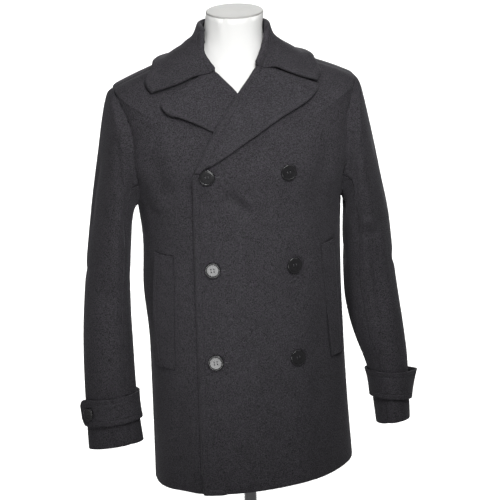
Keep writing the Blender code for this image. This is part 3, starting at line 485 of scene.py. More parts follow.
def melton(g):
    """Milled charcoal wool: fine dark and pale fibres, a few violet and grey-green ones."""
    s = settings()
    where = g.place()
    fine = g.noise(where, 500.0, 3.0, 0.70)
    speck = g.noise(where, 800.0, 2.0, 0.6)
    broad = g.noise(where, 34.0, 3.0, 0.55)
    tint = g.noise(where, 480.0, 1.0, 0.5)
    share = ((fine - 0.5) * 2.6 + (speck - 0.5) * 2.8 + (broad - 0.5) * 0.30 + 0.46).clamp()
    wool = g.blend(share, colour(*s.wool_dark), colour(*s.wool_light))
    wool = g.blend(tint.step(0.54, 0.70) * 0.45, wool, colour(*s.wool_violet))
    wool = g.blend((1.0 - tint).step(0.56, 0.72) * 0.40, wool, colour(*s.wool_green))
    edge = g.attribute("edge_distance")
    groove = (((edge - s.stitch_inset) / STITCH_HALF) ** 2.0 * -1.0).exp()
    nap = fine * 0.6 + speck * 0.4
    bumps = g.bump(nap, 0.55, 0.0009)
    bumps = g.bump(1.0 - groove, 0.9, 0.0008, bumps)
    return g.shade(Base_Color=wool, Roughness=0.92, Specular_IOR_Level=0.25, Sheen_Weight=0.06,
                   Sheen_Roughness=0.45, Sheen_Tint=colour(0.80, 0.78, 0.86), Normal=bumps)


def thread_finish(g):
    ply = g.noise(g.place(), 2400.0, 2.0, 0.6)
    shown = g.blend(ply, colour(0.012, 0.012, 0.014), colour(0.060, 0.058, 0.064))
    return g.shade(Base_Color=shown, Roughness=0.6, Normal=g.bump(ply, 0.4, 0.0003))


def button_finish(g):
    where = g.place()
    cloud = g.noise(where, 160.0, 3.0, 0.6)
    scuff = g.noise(where, 900.0, 2.0, 0.7)
    shown = g.blend(cloud, colour(0.003, 0.003, 0.0035), colour(0.012, 0.0115, 0.0125))
    return g.shade(Base_Color=shown, Roughness=0.20 + scuff * 0.16, Specular_IOR_Level=0.42,
                   Normal=g.bump(scuff, 0.06, 0.0002))


def form_finish(g):
    """White stretch jersey over the form."""
    where = g.place()
    knit = g.noise(g.stretched(where, (1.0, 1.0, 0.55)), 1500.0, 2.0, 0.6)
    soft = g.noise(where, 22.0, 2.0, 0.5)
    shown = g.blend(knit * 0.35 + soft * 0.45, colour(0.64, 0.64, 0.628), colour(0.72, 0.72, 0.712))
    return g.shade(Base_Color=shown, Roughness=0.82, Specular_IOR_Level=0.3,
                   Normal=g.bump(knit, 0.18, 0.0004))


def cap_finish(g):
    where = g.place()
    grain = g.noise(where, 420.0, 3.0, 0.6)
    broad = g.noise(where, 26.0, 2.0, 0.5)
    # Painted shade: the cap's colour is set about half as bright as the form cover's, to paint shade
    # on its upward-facing top; the broad and grain noise vary it at random.
    shown = g.blend(broad * 0.7 + grain * 0.3, colour(0.30, 0.298, 0.286), colour(0.38, 0.377, 0.362))
    return g.shade(Base_Color=shown, Roughness=0.42 + grain * 0.12,
                   Normal=g.bump(grain, 0.08, 0.0003))


def chrome_finish(g):
    where = g.place()
    brushed = g.noise(g.stretched(where, (1.0, 1.0, 0.02)), 900.0, 2.0, 0.6)
    smear = g.noise(where, 18.0, 3.0, 0.6)
    # Painted reflection: the chrome's colour is set dark, 0.16 to 0.26, to paint the dark reflection
    # of the coat above it; the smear noise varies it at random.
    shown = g.blend(smear, colour(0.16, 0.16, 0.165), colour(0.26, 0.26, 0.265))
    return g.shade(Base_Color=shown, Metallic=1.0, Roughness=0.14 + brushed * 0.10 + smear * 0.06,
                   Normal=g.bump(brushed, 0.05, 0.0002))


FLOOR_GLOW = 0.23            # the floor is a pale light table


def floor_finish(g):
    where = g.place()
    broad = g.noise(where, 0.8, 3.0, 0.5)
    shown = g.blend(broad, colour(0.90, 0.90, 0.90), colour(0.94, 0.94, 0.94))
    return g.shade(Base_Color=shown, Roughness=0.75 + broad * 0.1,
                   Emission_Color=colour(1.0, 1.0, 1.0), Emission_Strength=FLOOR_GLOW)


FINISHES = {"charcoal melton": melton, "charcoal thread": thread_finish,
            "black button resin": button_finish, "white form cover": form_finish,
            "pale neck cap": cap_finish, "brushed chrome": chrome_finish,
            "pale studio floor": floor_finish}


def finish(name):
    """The material of that name, made once."""
    return bpy.data.materials.get(name) or FINISHES[name](Graph(name))


def hand_over(piece, nodes, material):
    """Gives a finished piece its material and its body, and hides the nodes that it stands for."""
    piece.data.materials.clear()
    piece.data.materials.append(finish(material))
    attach(piece, "root")
    if nodes:
        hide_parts(*nodes)


# ---- cloth ----
CUT = {}                     # the pieces before they are smoothed, and their edges
SEAM_REACH = 0.0016          # edges of two pieces that are nearer than this are sewn together
GORGE_REACH = 0.0070         # the same, between the collar and a lapel
NOTCH = {"left_lapel": 0.0620, "right_lapel": 0.0780}   # where each notch is, across
FRONT_EDGE = -0.060          # the left front's edge lies beyond this, across
FRONT_TOP = DATUM + 0.20     # and turns into the lapel here
NECK_BACK = 0.02             # middle of the collar's neck seam, front to back, and its radius
NECK_RADIUS = 0.080
WELT_FREE = 0.8              # from this share of a welt's width on, its edge is free
ROLL_REACH = 0.012           # a lapel's edges nearer than this to its roll line are not cut
UNSTITCHED = -0.0785         # a lapel's edges whose middle is here, across, are left plain
UNSTITCHED_REACH = 0.0015
LEFT_TAIL = -0.02            # beyond this the left lapel runs out in a narrow tail
SAME_LEVEL = 0.008           # points this near in height are compared
WELT_LEVEL = 0.030
TINY = 1e-12                 # keeps a division by a length of nothing away


def cut_pieces():
    """Copies every cloth node once and sorts its edges into sewn and free ones."""
    if CUT:
        return
    for name in CLOTH:
        piece = merged_copy(name)
        crease_rims(piece, RIM_ANGLE, RIM_CREASE)
        points = coords(piece.data)
        tree = point_tree(points, range(len(points)))
        CUT[name] = {"piece": piece, "rim": rim_lines(piece), "tree": tree,
                     "out": outward(piece, HINTS[name])}
    for name, cut in CUT.items():
        starts, ends = cut["rim"]
        middle = (starts + ends) / 2
        sewn = sewn_edges(name, middle)
        gorge = gorge_edges(name, middle)
        free = ~(sewn | gorge)
        cut.update(sewn=sewn, gorge=gorge, free=free, stitched=stitched_edges(name, middle, free))
        creases = cut["piece"].data.attributes["crease_edge"].data
        held = [crease for crease in creases if crease.value > 0]
        for crease, loose in zip(held, free):
            crease.value = RIM_CREASE if loose else 1.0


def sewn_edges(name, middle):
    """Which edges meet another piece's edge, the seams of collar and lapels left aside."""
    sewn = np.zeros(len(middle), dtype=bool)
    pieces = [other for other in CUT if other != "collar" and other not in NOTCH]
    if name in pieces:
        pieces.remove(name)
        for other in pieces:
            sewn |= from_lines(middle, *CUT[other]["rim"]) < SEAM_REACH
    return sewn


def gorge_edges(name, middle):
    """Which edges belong to the seams between the collar and the lapels."""
    if name == "collar":
        return gorge_part(middle, "left_lapel") | gorge_part(middle, "right_lapel")
    if name in NOTCH:
        return gorge_part(middle, name)
    return np.zeros(len(middle), dtype=bool)


def stitched_edges(name, middle, free):
    """Which of the free edges have a row of topstitching beside them."""
    if name == "left_front":
        return free & (middle[:, 0] < FRONT_EDGE) & (middle[:, 2] < FRONT_TOP)
    if name in BODY_PANELS + SLEEVE_PANELS:
        return np.zeros(len(free), dtype=bool)
    if name == "collar":
        return free & (np.hypot(middle[:, 0], middle[:, 1] - NECK_BACK) > NECK_RADIUS)
    if "welt" in name:
        return welt_share(name, middle) > WELT_FREE
    if name in NOTCH:
        shown = free & (np.abs(middle[:, 0] - UNSTITCHED) > UNSTITCHED_REACH)
        return shown & (roll_gap(name, middle) > ROLL_REACH)
    return free


def lapel_side(lapel):
    return 1 if lapel == "left_lapel" else -1


def gorge_part(points, lapel):
    """Which points belong to the seam between the collar and this lapel, up to the notch."""
    across = lapel_side(lapel) * points[:, 0]
    near = from_lines(points, *CUT[lapel]["rim"]) < GORGE_REACH
    near &= from_lines(points, *CUT["collar"]["rim"]) < GORGE_REACH
    return near & (across < NOTCH[lapel]) & (across > 0.0)


def roll_gap(name, points):
    """How far points of a lapel lie from its roll line, across."""
    every = np.vstack(CUT[name]["rim"])
    gaps = np.empty(len(points))
    for i, p in enumerate(points):
        level = every[np.abs(every[:, 2] - p[2]) < SAME_LEVEL]
        if name == "left_lapel":
            gaps[i] = level[:, 0].max() - p[0] if p[0] < LEFT_TAIL else 1.0
            gaps[i] = max(gaps[i], p[0] - level[:, 0].min())
        else:
            gaps[i] = level[:, 0].max() - p[0]
    return gaps


def welt_share(name, points):
    """0 along a welt's sewn side, 1 along its free side."""
    every = np.vstack(CUT[name]["rim"])
    share = np.empty(len(points))
    for i, p in enumerate(points):
        level = np.abs(every[np.abs(every[:, 2] - p[2]) < WELT_LEVEL][:, 0])
        share[i] = (abs(p[0]) - level.min()) / max(level.max() - level.min(), 1e-6)
    return np.clip(share, 0.0, 1.0)


def rim_lines(piece):
    """The creased edges of the unsmoothed piece, as pairs of points."""
    points = coords(piece.data)
    held = np.array([d.value > 0 for d in piece.data.attributes["crease_edge"].data])
    ends = np.array([tuple(e.vertices) for e in piece.data.edges])[held]
    return points[ends[:, 0]], points[ends[:, 1]]


def from_lines(points, starts, ends):
    """How far each point lies from the nearest of the lines."""
    best = np.full(len(points), 1.0)
    for a, b in zip(starts, ends):
        along = b - a
        size = max(float(along @ along), TINY)
        t = np.clip(((points - a) @ along) / size, 0, 1)
        np.minimum(best, np.linalg.norm(points - a - t[:, None] * along, axis=1), out=best)
    return best


SEAM_DIP = 0.0010            # how far the cloth is drawn in along a seam
SEAM_WIDTH = 0.0055
FREE_LIFT = {"left_lapel": 0.0046, "right_lapel": 0.0036, "collar": 0.0048,
             "left_front": 0.0050}
LIFT_WIDTH = 0.020           # how far in from a free edge the cloth stands off
FRONT_WIDTH = 0.013
WELT_THIN = 0.0025           # how much thinner a welt is along its sewn side
NOTCH_DROP = 0.0026          # how far a lapel's upper edge lies below the collar's end
GORGE_GAP = 0.00012          # what is left between the collar and a lapel, to each side
GORGE_WIDTH = 0.0060         # how far into the cloth the gorge is drawn together
GORGE_MET = 2.2 * GORGE_GAP  # edges nearer than this have met
GORGE_END = (0.004, -0.008)  # across the notch, from where to where the seam opens
NOTCH_REACH = 0.014          # the notch's edge lies this near the collar
NOTCH_WIDTH = 0.020          # how far into the lapel its drop reaches
FOLD_CLEAR = 0.016           # a seam holds the folds flat up to here
WELT_SPAN = (0.15, 0.95)     # across a welt, from where to where it thickens
OUTER_SIDE = 0.3             # least cosine to the outward direction on a welt's outer side
OPPOSED = 0.2                # directions that add up to less than this are not mixed


def seam_direction(name, points, out, near):
    """Out of the garment at a seam, the same direction for the pieces on both sides."""
    both = out.copy()
    others = [CUT[other] for other in BODY_PANELS + SLEEVE_PANELS if other != name]
    for i in np.flatnonzero(near):
        found = [(*cut["tree"].find(points[i]), cut["out"]) for cut in others]
        _, index, _, theirs = min(found, key=lambda item: item[2])
        mixed = out[i] + theirs[index]
        size = np.linalg.norm(mixed)
        if size > OPPOSED:
            both[i] = mixed / size
    return both


def gorge_lines(name, side):
    """A piece's edges along the gorge on one side of the neck."""
    starts, ends = CUT[name]["rim"]
    part = CUT[name]["gorge"] & (side * starts[:, 0] > 0)
    return starts[part], ends[part]


def meet(name, points):
    """Draws the collar's lower edge and the lapels' upper ones together along the gorge."""
    for lapel in NOTCH if name == "collar" else (name,):
        side = lapel_side(lapel)
        own = gorge_lines(name, side)
        theirs = gorge_lines(lapel if name == "collar" else "collar", side)
        for i, p in enumerate(points):
            foot, gap = nearest_on(p, *own)
            if gap > GORGE_WIDTH:
                continue
            goal, apart = nearest_on(foot, *theirs)
            if apart < GORGE_MET:
                continue
            pull = (goal - foot) * (0.5 - GORGE_GAP / apart)
            fade = 1 - smoothstep(0.0, GORGE_WIDTH, gap)
            first, last = (NOTCH[lapel] + shift for shift in GORGE_END)
            points[i] = p + pull * fade * smoothstep(first, last, side * foot[0])
    return points


def notch_edge(name, points):
    """1 on a lapel's upper edge past the notch, fading into the lapel."""
    starts, ends = CUT[name]["rim"]
    middle = (starts + ends) / 2
    upper = CUT[name]["free"] & (lapel_side(name) * middle[:, 0] > NOTCH[name])
    upper &= from_lines(middle, *CUT["collar"]["rim"]) < NOTCH_REACH
    return 1 - smoothstep(0.0, NOTCH_WIDTH, from_lines(points, starts[upper], ends[upper]))


def nearest_on(point, starts, ends):
    """The nearest point on a set of lines, and its distance."""
    along = ends - starts
    size = np.maximum((along * along).sum(axis=1), TINY)
    t = np.clip(((point - starts) * along).sum(axis=1) / size, 0, 1)
    spots = starts + t[:, None] * along
    gaps = np.linalg.norm(spots - point, axis=1)
    best = gaps.argmin()
    return spots[best], gaps[best]


def cloth_piece(name, folds=()):
    """Smooths one cut piece, gives it its folds, seams and free edges, and hands it over."""
    cut_pieces()
    cut = CUT[name]
    piece = cut["piece"]
    starts, ends = cut["rim"]
    smooth_through(piece, DETAIL)
    points = coords(piece.data)
    distance = from_lines(points, starts[cut["stitched"]], ends[cut["stitched"]])
    layer = piece.data.attributes.new("edge_distance", "FLOAT", "POINT")
    layer.data.foreach_set("value", distance)
    out = outward(piece, HINTS[name])
    move = np.zeros((len(points), 3))
    if folds:
        depth = fold_depth(points, out, folds, settings().fold_strength)
        sewn = from_lines(points, starts[cut["sewn"]], ends[cut["sewn"]])
        depth *= smoothstep(0.0, FOLD_CLEAR, sewn)
        move += out * depth[:, None]
        dip = SEAM_DIP * np.exp(-(sewn / SEAM_WIDTH) ** 2)
        joint = seam_direction(name, points, out, sewn < 3 * SEAM_WIDTH)
        move -= joint * dip[:, None]
    if name in FREE_LIFT:
        near = 1 - smoothstep(0.0, FRONT_WIDTH if name == "left_front" else LIFT_WIDTH, distance)
        move += out * (FREE_LIFT[name] * near * edge_share(name, points))[:, None]
    if "welt" in name:
        thin = WELT_THIN * (1 - smoothstep(*WELT_SPAN, welt_share(name, points)))
        outer = (normals(piece.data) * out).sum(axis=1) > OUTER_SIDE
        move -= out * (thin * outer)[:, None]
    if name in NOTCH:
        move[:, 2] -= NOTCH_DROP * notch_edge(name, points)
    if name == "collar" or name in NOTCH:
        points = meet(name, points)
    set_coords(piece.data, points + move)
    piece.data.attributes.remove(piece.data.attributes["crease_edge"])
    hand_over(piece, [name], "charcoal melton")


def edge_share(name, points):
    """How much of its lift an edge has along its length; the front edge has it all."""
    x, z = points[:, 0], points[:, 2]
    if name == "left_front":
        return np.ones(len(points))
    if name == "collar":
        return 0.35 + 0.65 * smoothstep(0.050, 0.120, np.abs(x))
    if name == "left_lapel":
        low = 1 - 0.85 * smoothstep(DATUM + 0.305, DATUM + 0.325, z)
        return low * (0.35 + 0.65 * smoothstep(0.050, 0.120, x) + 0.50 * smoothstep(0.0, -0.07, x))
    low = 1 - 0.85 * smoothstep(DATUM + 0.300, DATUM + 0.320, z)
    return low * (0.45 + 0.55 * smoothstep(-0.080, -0.140, x))


class COAT_OT_body(bpy.types.Operator):
    """Fronts and backs of the coat, with their folds"""
    bl_idname = "pea_coat.body"
    bl_label = "Body panels"

    def execute(self, context):
        for name in BODY_PANELS:
            cloth_piece(name, BODY_FOLDS)
        return {"FINISHED"}


class COAT_OT_sleeves(bpy.types.Operator):
    """Top and under sleeves, with their folds"""
    bl_idname = "pea_coat.sleeves"
    bl_label = "Sleeves"

    def execute(self, context):
        for name in SLEEVE_PANELS:
            cloth_piece(name, SLEEVE_FOLDS)
        return {"FINISHED"}


class COAT_OT_collar(bpy.types.Operator):
    """Collar and lapels"""
    bl_idname = "pea_coat.collar"
    bl_label = "Collar and lapels"

    def execute(self, context):
        for name in ("collar", "left_lapel", "right_lapel"):
            cloth_piece(name)
        return {"FINISHED"}


class COAT_OT_trims(bpy.types.Operator):
    """Pocket welts and cuff straps"""
    bl_idname = "pea_coat.trims"
    bl_label = "Welts and straps"

    def execute(self, context):
        for name in ("left_welt", "right_welt", "left_strap", "right_strap"):
            cloth_piece(name)
        return {"FINISHED"}


# ---- buttons ----
BUTTONS = [f"button_{side}_{i}" for side in ("left", "right") for i in (1, 2, 3)]
BUTTONS += ["left_cuff_button", "right_cuff_button"]
# steps of a button's face from its rim inwards: share of the radius, share of the thickness
BUTTON_STEPS = ((0.985, 0.30), (1.000, 0.50), (0.985, 0.72), (0.945, 0.90), (0.900, 0.970),
                (0.860, 0.975), (0.815, 0.930), (0.770, 0.885), (0.700, 0.865), (0.500, 0.860),
                (0.300, 0.858), (0.060, 0.856))
BUTTON_RADIUS = 0.0145
BUTTON_THICK = 0.0045
BACK_SHARE = 0.90            # radius of a button's back, as a share of its rim
HOLE_SHARE = 0.185           # how far the holes are from the middle, each way
HOLE_RADIUS = 0.00115
THREAD_RADIUS = 0.00042
THREAD_HEIGHT = 0.00412
THREAD_SAG = 0.0006          # how far its ends go down into the holes
HOLE_BAR = (0.0090, 0.0013, 0.0007)   # length, width and height of a buttonhole's end
BAR_GAP = 0.0006             # from the button to it
BAR_CLEAR = 0.0002           # how far its middle stands off the cloth


def button_frame(name):
    """The middle of a button's back, its facing, radius and thickness, from its solid."""
    points = coords(node(name).data)
    centre = (points.min(axis=0) + points.max(axis=0)) / 2
    flat = points - points.mean(axis=0)
    facing = np.linalg.eigh(np.cov(flat.T))[1][:, 0]
    out = np.array((centre[0] - AXIS_X, centre[1] - AXIS_Y, 0.0))
    if facing @ out < 0:
        facing = -facing
    heights = flat @ facing
    radius = np.linalg.norm(flat - heights[:, None] * facing, axis=1).max()
    back = points.mean(axis=0) + facing * heights.min()
    return Vector(back), Vector(facing), radius, heights.max() - heights.min()


def model_button():
    """One four-hole button, back on the ground, facing up."""
    clear_selection()
    bpy.ops.mesh.primitive_circle_add(vertices=48, radius=BUTTON_RADIUS * BACK_SHARE,
                                      fill_type="NGON", location=(0, 0, 0))
    button = bpy.context.object
    edit_all()
    last_share, last_height = BACK_SHARE, 0.0
    for share, height in BUTTON_STEPS:
        rise = (height - last_height) * BUTTON_THICK
        bpy.ops.mesh.extrude_region_move(TRANSFORM_OT_translate={"value": (0, 0, rise)})
        bpy.ops.transform.resize(value=(share / last_share, share / last_share, 1))
        last_share, last_height = share, height
    bpy.ops.mesh.merge(type="CENTER")
    bpy.ops.mesh.select_all(action="SELECT")
    bpy.ops.mesh.normals_make_consistent(inside=False)
    leave_edit()
    reach = BUTTON_RADIUS * HOLE_SHARE
    for x, y in ((-1, -1), (-1, 1), (1, -1), (1, 1)):
        clear_selection()
        bpy.ops.mesh.primitive_cylinder_add(vertices=16, radius=HOLE_RADIUS, depth=0.02,
                                            location=(x * reach, y * reach, 0.0))
        cutter = bpy.context.object
        pick(button)
        cut = button.modifiers.new("hole", "BOOLEAN")
        cut.object = cutter
        cut.operation = "DIFFERENCE"
        cut.solver = "EXACT"
        bpy.ops.object.modifier_apply(modifier=cut.name)
        bpy.data.objects.remove(cutter)
    pick(button)
    bpy.ops.object.shade_smooth_by_angle(angle=math.radians(38))
    return button


def model_shank():
    """Two doubled threads across the holes, drawn down into them."""
    reach = BUTTON_RADIUS * HOLE_SHARE
    clear_selection()
    parts = []
    for x in (-1, 1):
        for shift in (-THREAD_RADIUS, THREAD_RADIUS):
            bpy.ops.mesh.primitive_cylinder_add(vertices=8, radius=THREAD_RADIUS, depth=2 * reach,
                                                location=(0, 0, 0))
            thread = bpy.context.object
            edit_all()
            bpy.ops.transform.rotate(value=math.pi / 2, orient_axis="X",
                                     center_override=(0, 0, 0))
            bpy.ops.transform.translate(value=(x * reach + shift, 0, THREAD_HEIGHT))
            leave_edit()
            for v in thread.data.vertices:
                v.co.z -= THREAD_SAG * abs(v.co.y / reach) ** 4
            parts.append(thread)
            clear_selection()
    for part in parts:
        part.select_set(True)
    bpy.context.view_layer.objects.active = parts[0]
    bpy.ops.object.join()
    joined = bpy.context.object
    pick(joined)
    bpy.ops.object.shade_smooth()
    return joined


def placed_copy(pattern, name, matrix):
    piece = bpy.data.objects.new(name, pattern.data.copy())
    bpy.context.scene.collection.objects.link(piece)
    piece.data.transform(matrix)
    piece.data.update()
    return piece


def sew_buttonhole(name, button):
    """The stitched end of a buttonhole, seen beside its button on the left front."""
    low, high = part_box(button)
    middle = (low + high) / 2
    before = middle.y - 0.06
    start = Vector((high.x + HOLE_BAR[0] / 2 + BAR_GAP, before, middle.z))
    front = bpy.data.objects["left_front_cloth"]
    tree = BVHTree.FromPolygons([v.co for v in front.data.vertices],
                                [p.vertices for p in front.data.polygons])
    spot, facing, _, _ = tree.ray_cast(start, Vector((0, 1, 0)))
    clear_selection()
    bpy.ops.mesh.primitive_uv_sphere_add(segments=16, ring_count=10, radius=0.5,
                                         location=(0, 0, 0))
    bar = bpy.context.object
    across = facing.cross(Vector((0, 0, 1))).normalized() * -1
    up = facing.cross(across)
    turned = Matrix((across, up, facing)).transposed()
    size = Matrix.Diagonal(HOLE_BAR)
    bar.data.transform(Matrix.Translation(spot + facing * BAR_CLEAR) @ (turned @ size).to_4x4())
    bar.data.update()
    bar.name = name
    bpy.ops.object.shade_smooth()
    hand_over(bar, [], "charcoal thread")


class COAT_OT_buttons(bpy.types.Operator):
    """Four-hole buttons in both columns and on the cuff straps"""
    bl_idname = "pea_coat.buttons"
    bl_label = "Buttons"

    def execute(self, context):
        button = model_button()
        shank = model_shank()
        for name in BUTTONS:
            back, facing, radius, thick = button_frame(name)
            across = Vector((0, 0, 1)).cross(facing).normalized()
            up = facing.cross(across)
            turn = math.radians(settings().button_turn)
            turned = Matrix((across, up, facing)).transposed() @ Matrix.Rotation(turn, 3, "Z")
            wide = radius / BUTTON_RADIUS
            size = Matrix.Diagonal((wide, wide, thick / BUTTON_THICK))
            matrix = Matrix.Translation(back) @ (turned @ size).to_4x4()
            piece = placed_copy(button, name + "_resin", matrix)
            hand_over(piece, [name], "black button resin")
            thread = placed_copy(shank, name + "_thread", matrix)
            hand_over(thread, [], "charcoal thread")
        for pattern in (button, shank):
            bpy.data.objects.remove(pattern)
        for i in (1, 2, 3):
            sew_buttonhole(f"buttonhole_{i}", f"button_right_{i}")
        return {"FINISHED"}


# ---- dress form and stand ----
BASE_THICK = 0.012
TORSO_ANGLE = 50             # the form's edges sharper than this stay firm, by this much
TORSO_CREASE = 0.9
TORSO_INSET = 0.0018         # how far the form is drawn in where the coat hides it
NECK_SHOWS = (DATUM + 0.400, DATUM + 0.370)


def turned_solid(name, section, steps):
    """A closed solid turned round the upright axis from a half section."""
    clear_selection()
    bpy.ops.mesh.primitive_plane_add(size=0.01, location=(0, 0, 0))
    piece = bpy.context.object
    piece.name = name
    edit_all()
    bpy.ops.mesh.merge(type="CENTER")
    radius, height = section[0]
    bpy.ops.transform.translate(value=(radius, 0, height))
    for r, z in section[1:]:
        step = (r - radius, 0, z - height)
        bpy.ops.mesh.extrude_region_move(TRANSFORM_OT_translate={"value": step})
        radius, height = r, z
    bpy.ops.mesh.select_all(action="SELECT")
    bpy.ops.mesh.spin(steps=steps, angle=2 * math.pi, center=(0, 0, 0), axis=(0, 0, 1))
    bpy.ops.mesh.select_all(action="SELECT")
    bpy.ops.mesh.remove_doubles(threshold=0.00002)
    bpy.ops.mesh.normals_make_consistent(inside=False)
    leave_edit()
    bpy.ops.object.shade_smooth_by_angle(angle=math.radians(35))
    return piece


def cap_section(r, low, high):
    """A flat disc with a small round at its upper edge."""
    return ((0.0, low), (r - 0.0004, low), (r, low + 0.0004), (r, high - 0.0012),
            (r - 0.0004, high - 0.0005), (r - 0.0012, high - 0.0001), (r - 0.0022, high),
            (r - 0.006, high), (0.0, high))


def pole_section(r, low, high):
    return (0.0, low), (r, low), (r, high), (0.0, high)


def base_section(r, low, high):
    """From the socket of the pole, out over the plate and round its edge to the ground."""
    plate = low + BASE_THICK
    return ((0.0, high), (0.0180, high), (0.0193, high - 0.0004), (0.0202, high - 0.0016),
            (0.0225, plate + 0.0034), (0.0236, plate + 0.0014), (0.0262, plate + 0.0002),
            (0.0300, plate), (r - 0.0044, plate - 0.0018), (r - 0.0020, plate - 0.0034),
            (r - 0.0006, plate - 0.0056), (r, plate - 0.0084), (r, low + 0.0014),
            (r - 0.0004, low + 0.0004), (r - 0.0014, low), (0.0, low))


# each turned solid of the stand: name, section, steps round, material and slot
STAND = {"form_cap": ("neck_cap_disc", cap_section, 96, "pale neck cap", "neck_cap"),
         "pole": ("pole_tube", pole_section, 64, "brushed chrome", "chrome"),
         "base": ("round_base", base_section, 128, "brushed chrome", "chrome")}


def model_torso():
    """The form's cover, smoothed, and drawn in where the coat hides it."""
    torso = merged_copy("form_torso")
    torso.name = "form_cover"
    crease_rims(torso, TORSO_ANGLE, TORSO_CREASE)
    smooth_through(torso, 2)
    points = coords(torso.data)
    under = smoothstep(*NECK_SHOWS, points[:, 2])
    set_coords(torso.data, points - normals(torso.data) * (TORSO_INSET * under)[:, None])
    torso.data.attributes.remove(torso.data.attributes["crease_edge"])
    return torso


class COAT_OT_form(bpy.types.Operator):
    """Dress form under the coat, its neck cap, pole and base"""
    bl_idname = "pea_coat.form"
    bl_label = "Dress form and stand"

    def execute(self, context):
        hand_over(model_torso(), ["form_torso"], "white form cover")
        for solid, (name, section, steps, material, slot) in STAND.items():
            low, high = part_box(solid)
            piece = turned_solid(name, section((high.x - low.x) / 2, low.z, high.z), steps)
            hand_over(piece, [solid], material)
        return {"FINISHED"}


# ---- stage ----
CAMERA_AZIMUTH = -6.0
CAMERA_ELEVATION = 16.0
CAMERA_ROLL = -1.88
VIEW_HEIGHT = 0.925          # height of the view at the coat
LENS = 600.0
SENSOR = 36.0
VIEW_SHIFT = 0.0142          # how far to the right of the form's middle the camera looks
FLOOR_SIZE = 160
CAMERA_REACH = 200

# each lamp: name, power in watts, size, spread in degrees, where it hangs and what it faces
LAMPS = (
    ("key", 3.0, (0.6, 0.6), 54,
     (0.1, -1.3, 2.2), (0.01, -0.1, 1.23)),
    ("side", 0.8, (0.7, 0.7), 66,
     (1.25, -0.9, 2.3), (0.0, -0.1, 1.22)),
    ("side_low", 0.8, (0.8, 0.8), 70,
     (-1.3, -0.8, 2.4), (-0.16, 0.0, 1.2)),
    ("top", 2.1, (1.2, 0.8), 80,
     (0.0, -0.3, 2.6), (0.0, 0.0, 1.2)),
    ("rear", 4.5, (1.2, 1.0), 70,
     (0.5, 2.4, 1.7), (0.0, 0.0, 1.02)),
    ("card", 0.75, (0.4, 0.4), 50,
     (-0.56, -1.2, 0.72), (-0.06, -0.13, 0.98)),
    ("floor_back", 100.0, (4.0, 5.4), 60,
     (0.0, 4.1, 3.5), (0.0, 4.1, 0.0)),
)


def direction(azimuth, elevation):
    """Unit vector towards a viewer at this azimuth and elevation, in degrees."""
    a, e = math.radians(azimuth), math.radians(elevation)
    return Vector((math.sin(a) * math.cos(e), -math.cos(a) * math.cos(e), math.sin(e)))


def add_lamp(name, power, size, spread, place, aim):
    light = bpy.data.lights.new(name, "AREA")
    light.energy = power * settings().light
    light.shape = "RECTANGLE"
    light.size, light.size_y = size
    light.spread = math.radians(spread)
    lamp = bpy.data.objects.new(name, light)
    bpy.context.scene.collection.objects.link(lamp)
    lamp.location = place
    towards = Vector(place) - Vector(aim)
    lamp.rotation_euler = towards.to_track_quat("Z", "Y").to_euler()
    lamp.visible_camera = False


def add_camera(scene):
    away = direction(CAMERA_AZIMUTH, CAMERA_ELEVATION)
    turn = away.to_track_quat("Z", "Y").to_matrix()
    turn = turn @ Matrix.Rotation(math.radians(CAMERA_ROLL), 3, "Z")
    aim = Vector((0, 0, DATUM)) + turn @ Vector((VIEW_SHIFT, 0, 0))
    data = bpy.data.cameras.new("camera")
    data.lens = LENS
    data.sensor_width = SENSOR
    data.clip_end = CAMERA_REACH
    camera = bpy.data.objects.new("camera", data)
    scene.collection.objects.link(camera)
    distance = VIEW_HEIGHT * LENS / SENSOR
    camera.matrix_world = Matrix.Translation(aim + away * distance) @ turn.to_4x4()
    scene.camera = camera


class COAT_OT_stage(bpy.types.Operator):
    """Pale floor, soft lights and the camera"""
    bl_idname = "pea_coat.stage"
    bl_label = "Stage"

    def execute(self, context):
        clear_selection()
        bpy.ops.mesh.primitive_plane_add(size=FLOOR_SIZE, location=(0, 0, 0))
        floor = bpy.context.object
        floor.name = "studio_floor"
        floor.data.materials.append(finish("pale studio floor"))
        scene = context.scene
        world = bpy.data.worlds.new("soft studio")
        scene.world = world
        world.use_nodes = True
        back = world.node_tree.nodes["Background"]
        back.inputs["Color"].default_value = colour(1.0, 1.0, 1.0)
        back.inputs["Strength"].default_value = settings().fill
        for lamp in LAMPS:
            add_lamp(*lamp)
        add_camera(scene)
        scene.view_settings.view_transform = "Standard"
        return {"FINISHED"}


# ---- settings and panel ----
def wool_colour(name, text, default):
    return bpy.props.FloatVectorProperty(name=name, description=text, default=default,
                                         subtype="COLOR", size=3, min=0.0, max=1.0)


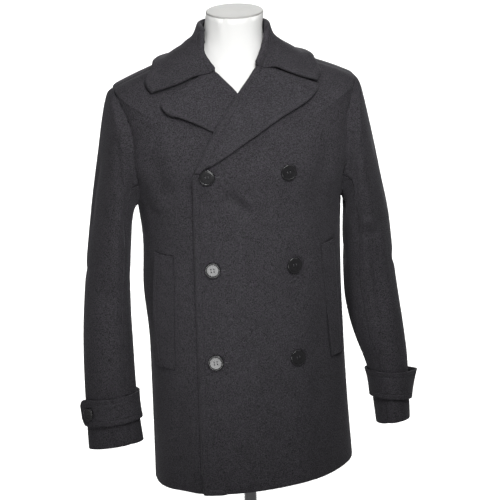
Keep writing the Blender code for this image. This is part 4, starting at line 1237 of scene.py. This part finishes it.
class CoatSettings(bpy.types.PropertyGroup):
    """Sizes and colours that a user would change"""
    fold_strength: bpy.props.FloatProperty(
        name="Fold strength", description="How deep the folds of the cloth are", default=1.4,
        min=0.0, max=2.0, subtype="FACTOR")
    stitch_inset: bpy.props.FloatProperty(
        name="Stitch inset", description="From an edge to its row of topstitching",
        default=0.009, unit="LENGTH")
    button_turn: bpy.props.FloatProperty(
        name="Button turn", description="How far the holes are turned, in degrees", default=8.0)
    wool_dark: wool_colour("Dark wool", "Darkest fibres", (0.0048, 0.0046, 0.0053))
    wool_light: wool_colour("Light wool", "Palest fibres", (0.0440, 0.0418, 0.0480))
    wool_violet: wool_colour("Violet wool", "Violet flecks", (0.0300, 0.0205, 0.0335))
    wool_green: wool_colour("Grey-green wool", "Grey-green flecks", (0.0150, 0.0172, 0.0146))
    fill: bpy.props.FloatProperty(
        name="Fill light", description="Even light from all round", default=0.06, min=0.0)
    light: bpy.props.FloatProperty(
        name="Lamps", description="Strength of all the lamps", default=1.0, min=0.0)


OPERATORS = (COAT_OT_body, COAT_OT_sleeves, COAT_OT_collar, COAT_OT_trims, COAT_OT_buttons,
             COAT_OT_form, COAT_OT_stage)


class COAT_PT_panel(bpy.types.Panel):
    """Lists the steps that build the coat"""
    bl_idname = "COAT_PT_panel"
    bl_label = "Pea Coat"
    bl_space_type = "VIEW_3D"
    bl_region_type = "UI"
    bl_category = "Pea Coat"

    def draw(self, context):
        for name in CoatSettings.__annotations__:
            self.layout.prop(context.scene.pea_coat, name)
        for operator in OPERATORS:
            self.layout.operator(operator.bl_idname)


CLASSES = (CoatSettings, *OPERATORS, COAT_PT_panel)


def register():
    for item in CLASSES:
        bpy.utils.register_class(item)
    bpy.types.Scene.pea_coat = bpy.props.PointerProperty(type=CoatSettings)


def unregister():
    del bpy.types.Scene.pea_coat
    for item in reversed(CLASSES):
        bpy.utils.unregister_class(item)


def main():
    register()
    bpy.ops.pea_coat.body()
    bpy.ops.pea_coat.sleeves()
    bpy.ops.pea_coat.collar()
    bpy.ops.pea_coat.trims()
    bpy.ops.pea_coat.buttons()
    bpy.ops.pea_coat.form()
    bpy.ops.pea_coat.stage()


if __name__ == "__main__":
    main()
